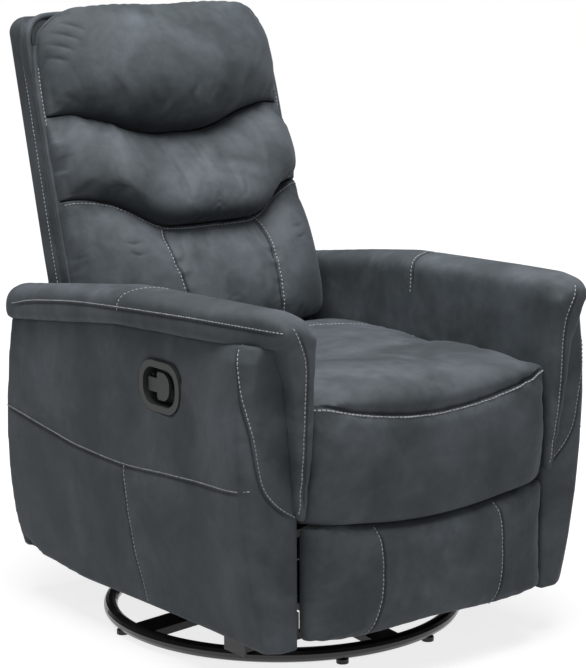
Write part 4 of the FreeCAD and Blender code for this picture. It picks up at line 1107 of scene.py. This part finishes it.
def build_seat():
    """The seat cushion as one closed slab, filled by simulation."""
    xs = np.linspace(-1, 1, SEAT_COLUMNS)
    xs = SEAT_HALF * np.sign(xs) * (1 - (1 - np.abs(xs)) ** 1.25)
    sections = np.stack([seat_section(x) for x in xs], axis=1)
    places = np.broadcast_to(xs[None, :, None], (SEAT_ROWS, SEAT_COLUMNS, 1))
    front = np.concatenate([places, sections], axis=2)
    back = np.stack([seat_underside(x) for x in xs], axis=1)
    piece = slab("seat_upholstery", front, back)
    co = corners_of(piece) / MM
    held = (co[:, 2] < 345) | (co[:, 1] > 150) | (np.abs(co[:, 0]) > SEAT_HALF - 2)
    held |= (co[:, 1] < -425) & (np.abs(co[:, 2] - front_seam_z(co[:, 0])) < 4)
    inflate(piece, held, SEAT_CAP, SEAT_SLACK)
    refine(piece)
    return piece


seat = build_seat()
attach(seat, "seat")
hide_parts("seat_cushion")
print("the seat stands", round(float(corners_of(seat)[:, 2].max()) / MM), "mm high")

# %% [markdown]
# ## Seams of the seat
# The bold seam across the front has thicker thread than the rest. On top lies an oval inset: its rear
# edge is sewn, and its front edge is only a shallow dip. The paths are drawn a little off the cushion
# and dropped on it, so they follow its bulge exactly.

# %% Seat seams
BACKWARDS = (0.0, 1.0, 0.0)
DOWNWARDS = (0.0, 0.0, -1.0)
SEAT_FRONT_VALLEY = (3.0, 2.6, 5.0, 13.0)
BOLD_LIFT = 0.0008
BOLD_ASIDE = 0.006
OVAL_REAR = ((-263, -81), (-245, -20), (-205, 22), (-150, 48), (-80, 60), (0, 64), (80, 62), (150, 52),
             (205, 26), (245, -16), (263, -81))
# depth, width, depth and width of the pucker, then the painted shade in the valley
OVAL_REAR_VALLEY = (2.4, 2.8, 2.4, 14.0, 0.8)
OVAL_FRONT = ((-262, -84), (-240, -140), (-195, -172), (-120, -186), (0, -190), (120, -187), (195, -174),
              (240, -142), (262, -84))
# a shallower valley with less painted shade
OVAL_FRONT_VALLEY = (1.4, 2.8, 2.4, 14.0, 0.4)
OVAL_POINTS = 260
OVAL_ASIDE = 0.0055
OVER_SEAT = 514.0

across = np.linspace(-250, 250, 300)
seam_z = np.minimum(front_seam_z(across), SEAM_TOP)
front_seam = np.stack([across, np.full_like(across, -446.0), seam_z], axis=1) * MM
sewn_seam(seat, "seat", front_seam, BACKWARDS, SEAT_FRONT_VALLEY, BOLD_ASIDE, BOLD_LIFT, bold=True)
oval_rear, oval_front = [curve_through([(x, y, OVER_SEAT) for x, y in points], OVAL_POINTS) * MM
                         for points in (OVAL_REAR, OVAL_FRONT)]
sewn_seam(seat, "seat", oval_rear, DOWNWARDS, OVAL_REAR_VALLEY, OVAL_ASIDE)
press_seam(seat, lay_on(seat, oval_front, DOWNWARDS), *OVAL_FRONT_VALLEY)
print("the seat's cover now has", len(seat.data.vertices), "points")

# %% [markdown]
# ## The footrest pad
# The footrest is a board with a padded cover in front, which closes the chair below the seat. Its top
# edge is higher at the sides, to follow the seat's hem. A bevelled box would be too crisp, so the pad
# is a slab again: two powers round it at the sides and at the top and bottom, and a little filling
# makes it soft.

# %% Footrest pad
FOOT_HALF = 260.0
FOOT_BACK_Y = -392.3
FOOT_EDGE_Y = -405.0
FOOT_TOP = ((0, 272), (90, 276), (165, 286), (225, 294), (260, 290))
FOOT_BOTTOM = ((0, 92), (200, 93), (260, 101))
FOOT_FRONT = ((0, -441), (150, -439), (260, -432))
FOOT_ROWS = 52
FOOT_COLUMNS = 110
FOOT_DRAW = 3
FOOT_BACK_WIDTH = 0.992
FOOT_CAP = 9
FOOT_SLACK = 0.02


def build_footrest():
    """The footrest's pad: a flat box of stuffing with rounded edges."""
    a = np.linspace(-1, 1, FOOT_COLUMNS)[None, :]
    v = np.linspace(0, 1, FOOT_ROWS)[:, None]
    x = FOOT_HALF * a
    low = eased(FOOT_BOTTOM, x)
    high = eased(FOOT_TOP, x)
    edge = ((1 - np.abs(a) ** 14) * (1 - np.abs(2 * v - 1) ** 7)) ** (1 / 2.4)
    z = low + (high - low) * (0.5 - 0.5 * np.cos(math.pi * v))
    y = FOOT_EDGE_Y + (eased(FOOT_FRONT, x) - FOOT_EDGE_Y) * edge
    front = np.stack(np.broadcast_arrays(x + 0 * v, y, z), axis=-1)
    back_z = low + FOOT_DRAW + (high - low - 2 * FOOT_DRAW) * v
    back = np.stack(np.broadcast_arrays(x * FOOT_BACK_WIDTH + 0 * v, FOOT_BACK_Y, back_z), axis=-1)
    piece = slab("footrest_cushion", front, back)
    co = corners_of(piece) / MM
    held = co[:, 1] > FOOT_EDGE_Y - 1
    inflate(piece, held, FOOT_CAP, FOOT_SLACK)
    refine(piece)
    return piece


foot_pad = build_footrest()
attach(foot_pad, "footrest")
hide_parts("footrest_pad")
print("the footrest pad has", len(foot_pad.data.vertices), "points")

# %% [markdown]
# ## Seams of the footrest
# Two upright seams part the footrest's cover into three panels. They bend a little inwards, as cloth
# does that is pulled round a board. They are pressed and sewn in the same way as the seat's.

# %% Footrest seams
FOOT_SEAMS = (((-126, 276), (-120, 246), (-117, 202), (-121, 151), (-138, 108), (-146, 95)),
              ((136, 276), (146, 242), (149, 188), (145, 135), (129, 96)))
FOOT_VALLEY = (2.6, 2.4, 2.5, 12.0)
FOOT_ASIDE = 0.005
for points in FOOT_SEAMS:
    path = curve_through([(x, -440.0, z) for x, z in points], 120) * MM
    sewn_seam(foot_pad, "footrest", path, BACKWARDS, FOOT_VALLEY, FOOT_ASIDE)
print("seams on the footrest:", len(FOOT_SEAMS))

# %% [markdown]
# ## The arms
# Each arm is a wooden frame with a thin padded cover on its outer side and a thick pad on top, which
# hangs down the front like a drape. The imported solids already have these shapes, only with hard faces
# and large triangles. Modelling them again could let them drift from the real size. So a copy of each
# solid gets an even skin from Voxel Remesh, Smooth softens its edges, and it is puffed out a little.

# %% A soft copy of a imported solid
SMOOTH_SHARE = 0.5


def plain_copy(node, name):
    """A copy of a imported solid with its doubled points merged."""
    work = bmesh.new()
    work.from_mesh(frame["nodes"][node].data)
    bmesh.ops.remove_doubles(work, verts=work.verts, dist=0.00001)
    mesh = bpy.data.meshes.new(name)
    work.to_mesh(mesh)
    work.free()
    piece = bpy.data.objects.new(name, mesh)
    scene.collection.objects.link(piece)
    return piece


def soft_copy(node, name, voxel, smoothing, grow=0.0):
    """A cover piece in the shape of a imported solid, with small even faces and softened corners."""
    piece = plain_copy(node, name)
    even = piece.modifiers.new("even", "REMESH")
    even.mode = "VOXEL"
    even.voxel_size = voxel * MM
    soft = piece.modifiers.new("soft", "SMOOTH")
    soft.factor = SMOOTH_SHARE
    soft.iterations = smoothing
    done = bpy.data.meshes.new_from_object(piece.evaluated_get(bpy.context.evaluated_depsgraph_get()))
    piece.modifiers.clear()
    piece.data = done
    done.shade_smooth()
    set_corners(piece, corners_of(piece) + normals_of(piece) * grow * MM)
    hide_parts(node)
    print(name, "has", len(done.vertices), "points")
    return piece


def step_between(value, low, high):
    """Rises smoothly from 0 at low to 1 at high."""
    t = np.clip((value - low) / (high - low), 0.0, 1.0)
    return t * t * (3 - 2 * t)


# %% [markdown]
# ## The arm's outer cover
# From in front the arm swells outwards at its middle height and turns in at its foot, where the cloth
# is stuffed and pulled under. Proportional editing could do that by hand. Here two small tables give
# the swell at each height, one for the front and one for the rear, so both arms get the same shape.
# A long diagonal seam, an upright one and a curved one at the front edge part the cover into panels.

# %% Shape and sew an arm cover
SKIN_VOXEL = 4.5
PANEL_SMOOTHING = 4
PANEL_GROW = 2.0
FRONT_SWELL = ((88, 165, 264, 346, 419, 492, 575, 612), (8, 11, 15, 18, 21, 24, 22, 6))
FRONT_SWELL_SPAN = (225, 400)
REAR_SWELL = ((88, 200, 330, 420), (10, 8, 3, 0))
REAR_SWELL_SPAN = (-40, 330)
OUTER_SPAN = (300, 330)
ARM_DIAGONAL = ((386, 365), (377, 364), (244, 353), (106, 342), (-34, 337), (-148, 344), (-237, 349),
                (-323, 355), (-378, 361), (-394, 364), (-403, 365))
ARM_VERTICAL = ((-26, 336), (-30, 273), (-37, 184), (-50, 96))
ARM_FRONT_EDGE = ((366, -360, 598), (366, -378, 560), (364, -391, 520), (360, -400, 470), (356, -405, 420),
                  (350, -409, 385), (340, -412, 362), (322, -414, 340), (300, -414, 322), (282, -414, 311))
ARM_VALLEY = (2.0, 2.2, 1.4, 12.0)
ARM_ASIDE = 0.005
ARM_OUT_X = 366.0


def shape_arm_cover(side, label):
    """The outer cover of one arm, with its swell towards the front and the rear."""
    panel = soft_copy("arm_panel_" + label, "arm_cover_" + label, SKIN_VOXEL, PANEL_SMOOTHING,
                      grow=PANEL_GROW)
    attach(panel, "chassis")
    co = corners_of(panel)
    swell = np.interp(co[:, 2] / MM, *FRONT_SWELL) * step_between(-co[:, 1] / MM, *FRONT_SWELL_SPAN)
    swell += np.interp(co[:, 2] / MM, *REAR_SWELL) * step_between(co[:, 1] / MM, *REAR_SWELL_SPAN)
    co[:, 0] += side * swell * step_between(side * co[:, 0] / MM, *OUTER_SPAN) * MM
    set_corners(panel, co)
    return panel


def sew_arm_cover(panel, side):
    """The seams of an arm cover. The front one turns round the edge, so its casting way turns too."""
    for points, count in ((ARM_DIAGONAL, 300), (ARM_VERTICAL, 90)):
        path = curve_through([(side * ARM_OUT_X, y, z) for y, z in points], count) * MM
        sewn_seam(panel, "chassis", path, (-side, 0.0, 0.0), ARM_VALLEY, ARM_ASIDE * side)
    path = curve_through([(side * x, y, z) for x, y, z in ARM_FRONT_EDGE], 160) * MM
    turn = math.pi / 2 * step_between(-path[:, 2] / MM, -530, -350)
    around = np.stack([-side * np.cos(turn), np.sin(turn), np.zeros_like(turn)], axis=1)
    sewn_seam(panel, "chassis", path, around, ARM_VALLEY, ARM_ASIDE * side, SIDE_LIFT)


print("the arm swells by up to", max(FRONT_SWELL[1]), "mm")

# %% [markdown]
# ## The arm's pad
# The pad is thick and round, so its copy is smoothed more and puffed out more. It narrows towards the
# front. A seam runs along its outer side, another goes round it near the middle of the arm, and a third
# runs down the drape at the front. All three are thin valleys with one row of thread.

# %% Shape and sew an arm pad
PAD_SMOOTHING = 30
PAD_GROW = 4.0
PAD_MIDDLE = 316
PAD_TAPER = 0.5
PAD_TAPER_SPAN = (250, 440)
PAD_STITCH = ((351, 572), (292, 585), (203, 597), (101, 608), (-29, 617), (-151, 624), (-268, 630),
              (-389, 634), (-424, 635), (-446, 636))
PAD_STITCH_DROP = 6
PAD_VALLEY = (1.8, 2.2, 1.4, 10.0)
BAND_VALLEY = (1.8, 2.2, 1.2, 10.0)
BAND_RADIUS = 60
BAND_Y = -20
BAND_SLANT = 26
BAND_LEAN = 1.6
BAND_Z = 600
DRAPE_STITCH = ((306, 634), (295, 610), (284, 585), (280, 552), (280, 490), (279, 434), (277, 380),
                (275, 325))
DRAPE_VALLEY = (1.6, 2.2, 1.4, 10.0)


def shape_arm_pad(side, label):
    """The pad on top of one arm, narrower towards its front."""
    pad = soft_copy("arm_pad_" + label, "arm_top_" + label, SKIN_VOXEL, PAD_SMOOTHING,
                    grow=PAD_GROW)
    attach(pad, "chassis")
    co = corners_of(pad)
    beyond = np.maximum(0.0, side * co[:, 0] / MM - PAD_MIDDLE)
    co[:, 0] -= side * beyond * PAD_TAPER * step_between(-co[:, 1] / MM, *PAD_TAPER_SPAN) * MM
    set_corners(pad, co)
    return pad


def sew_arm_pad(pad, side):
    """The seams of an arm pad: along its side, round it, and down the drape."""
    path = curve_through([(side * ARM_OUT_X, y, z - PAD_STITCH_DROP) for y, z in PAD_STITCH], 260) * MM
    sewn_seam(pad, "chassis", path, (-side, 0.0, -0.2), PAD_VALLEY, ARM_ASIDE * side)
    turn = np.linspace(math.radians(14), math.radians(200), 90)
    band_x = side * (PAD_MIDDLE + BAND_RADIUS * np.cos(turn))
    band_y = BAND_Y - BAND_SLANT * (1 - np.cos(turn)) / 2 * BAND_LEAN
    band = np.stack([band_x, band_y, BAND_Z + BAND_RADIUS * np.sin(turn)], axis=1) * MM
    inwards = np.stack([-side * np.cos(turn), np.zeros_like(turn), -np.sin(turn)], axis=1)
    sewn_seam(pad, "chassis", band, inwards, BAND_VALLEY, ARM_ASIDE)
    path = curve_through([(side * x, -450.0, z) for x, z in DRAPE_STITCH], 160) * MM
    sewn_seam(pad, "chassis", path, BACKWARDS, DRAPE_VALLEY, ARM_ASIDE)


print("the seam round an arm pad has a radius of", BAND_RADIUS, "mm")

# %% Both arms
for side, label in ((1, "left"), (-1, "right")):
    arm_cover = shape_arm_cover(side, label)
    sew_arm_cover(arm_cover, side)
    arm_pad = shape_arm_pad(side, label)
    sew_arm_pad(arm_pad, side)
print("rows of stitches on the arms:", len(stitch_rows[("chassis", False)]))

# %% [markdown]
# ## The rear skirt
# Behind the seat a low panel of cover joins the two arms and hides the mechanism. It is nearly flat, so
# a soft copy of its solid with little smoothing and no puff is enough.

# %% Rear skirt
SKIRT_VOXEL = 4.0
SKIRT_SMOOTHING = 2
skirt = soft_copy("rear_skirt_panel", "rear_skirt_cover", SKIRT_VOXEL, SKIRT_SMOOTHING)
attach(skirt, "chassis")

# %% [markdown]
# ## Finishes of the imported parts
# The imported record names a finish slot for every part, such as paint, steel, wood or cover, so most
# parts can take theirs from a table of slots. A few parts differ from their slot: the cross bars are
# duller than the ring, and frames that show in dark gaps are lined with gusset cloth, whose darker
# colour is painted shade. A second table of single parts comes before the first one.

# %% Finishes
FINISH_OF_SLOT = {
    "ring_paint": ring_paint, "glide_plastic": black_plastic, "swivel_steel": steel,
    "mechanism_steel": steel, "pin_steel": bright_steel, "frame_wood": timber, "cover": cover,
    "gusset_cloth": shaded_gusset, "webbing": webbing, "handle_plastic": handle_plastic,
}
FINISH_OF_NODE = {
    "base_cross_bar_long": bar_paint, "base_cross_bar_short": bar_paint,
    # the arm frames and the footrest board take the darker gusset cloth as painted shade in their gaps
    "arm_frame_left": shaded_gusset, "arm_frame_right": shaded_gusset, "footrest_board": shaded_gusset,
}
for row in frame["record"]["subparts"]:
    node = frame["nodes"][row["node"]]
    finish = FINISH_OF_NODE.get(row["node"], FINISH_OF_SLOT[row["material_slot"]])
    node.data.materials.clear()
    node.data.materials.append(finish)

# %% Sew the thread and cover the soft pieces
sew_all(stitch_tree(thread))
bare = [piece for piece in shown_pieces() if not piece.data.materials]
for piece in bare:
    if not piece.name.endswith("_stitches"):
        piece.data.materials.append(cover)
print("pieces that get the suede cover:", len(bare))

# %% [markdown]
# ## Studio
# The photograph is a cut-out on white with a soft shadow under the chair. A bright white floor would
# throw light up at the chair's underside and wash out the dark sides. So the floor is fairly dark
# where light falls on it, and it glows only for the camera and in reflections. The glow reaches full
# white away from the chair, and a little less beside it, where the shadow has to show.

# %% Floor
FLOOR_COLOUR = (0.34, 0.34, 0.34, 1.0)
FLOOR_ROUGHNESS = 0.9
FLOOR_HALF = 12.0
GLOW_SPAN = (0.5, 1.5)   # metres from the chair's middle
GLOW_RANGE = (0.8, 1.0)
WHITE = (1.0, 1.0, 1.0, 1.0)


def calculated(nodes, link, operation, first, second):
    """The result of a Math node on two sockets."""
    node = nodes.new("ShaderNodeMath")
    node.operation = operation
    link(first, node.inputs[0])
    link(second, node.inputs[1])
    return node.outputs["Value"]


def floor_material():
    """Floor paint that glows to the camera, and less near the chair."""
    material, nodes, link, shader = new_material("pale_floor")
    shader.inputs["Base Color"].default_value = FLOOR_COLOUR
    shader.inputs["Roughness"].default_value = FLOOR_ROUGHNESS
    path = nodes.new("ShaderNodeLightPath").outputs
    seen = calculated(nodes, link, "MAXIMUM", path["Is Camera Ray"], path["Is Glossy Ray"])
    seen = calculated(nodes, link, "MAXIMUM", seen, path["Is Transmission Ray"])
    where = nodes.new("ShaderNodeTexCoord")
    far = nodes.new("ShaderNodeVectorMath")
    far.operation = "LENGTH"
    link(where.outputs["Object"], far.inputs[0])
    glow = ranged(nodes, link, far.outputs["Value"], *GLOW_RANGE)
    glow.node.inputs["From Min"].default_value = GLOW_SPAN[0]
    glow.node.inputs["From Max"].default_value = GLOW_SPAN[1]
    shader.inputs["Emission Color"].default_value = WHITE
    link(calculated(nodes, link, "MULTIPLY", glow, seen), shader.inputs["Emission Strength"])
    return material


def add_floor():
    """A plain square floor, which isn't part of the chair."""
    corners = [(-FLOOR_HALF, -FLOOR_HALF, 0), (FLOOR_HALF, -FLOOR_HALF, 0), (FLOOR_HALF, FLOOR_HALF, 0),
               (-FLOOR_HALF, FLOOR_HALF, 0)]
    mesh = bpy.data.meshes.new("floor")
    mesh.from_pydata(corners, [], [(0, 1, 2, 3)])
    floor = bpy.data.objects.new("floor", mesh)
    scene.collection.objects.link(floor)
    mesh.materials.append(floor_material())


add_floor()
print("the floor is", 2 * FLOOR_HALF, "m wide")

# %% [markdown]
# ## Light
# The studio had one broad light above, and a weaker one from the front left of the picture, which
# opens the arm's side. A sun lamp would give hard edges, so both are large area lamps. The surround
# adds only a little light, or the dark sides would go grey, but the camera sees it as white.

# %% Lamps
LAMPS = (("overhead", (-0.3, -0.4, 3.6), (0.0, 0.0, 0.5), 2.4, 132.0),
         ("front_left", (-2.2, -3.0, 1.5), (0.0, -0.1, 0.5), 2.0, 24.0))


def add_lamp(name, place, aim, size, power):
    """A square soft lamp; places in metres, power in watts."""
    data = bpy.data.lights.new(name, "AREA")
    data.shape = "SQUARE"
    data.size = size
    data.energy = power
    lamp = bpy.data.objects.new(name, data)
    lamp.location = place
    lamp.rotation_euler = (Vector(aim) - Vector(place)).to_track_quat("-Z", "Y").to_euler()
    scene.collection.objects.link(lamp)


for lamp_row in LAMPS:
    add_lamp(*lamp_row)
    print("lamp", lamp_row[0], "of", lamp_row[4], "W")

# %% Surround
WORLD_STRENGTH = 0.08


def add_world(strength):
    """An even white surround, dim as a light and white to the camera."""
    world = bpy.data.worlds.new("surround")
    world.use_nodes = True
    scene.world = world
    nodes = world.node_tree.nodes
    link = world.node_tree.links.new
    sky = nodes["Background"]
    sky.inputs["Color"].default_value = WHITE
    path = nodes.new("ShaderNodeLightPath").outputs
    seen = calculated(nodes, link, "MAXIMUM", path["Is Camera Ray"], path["Is Transmission Ray"])
    link(ranged(nodes, link, seen, strength, 1.0), sky.inputs["Strength"])


add_world(WORLD_STRENGTH)
print("the surround lights with a strength of", WORLD_STRENGTH)
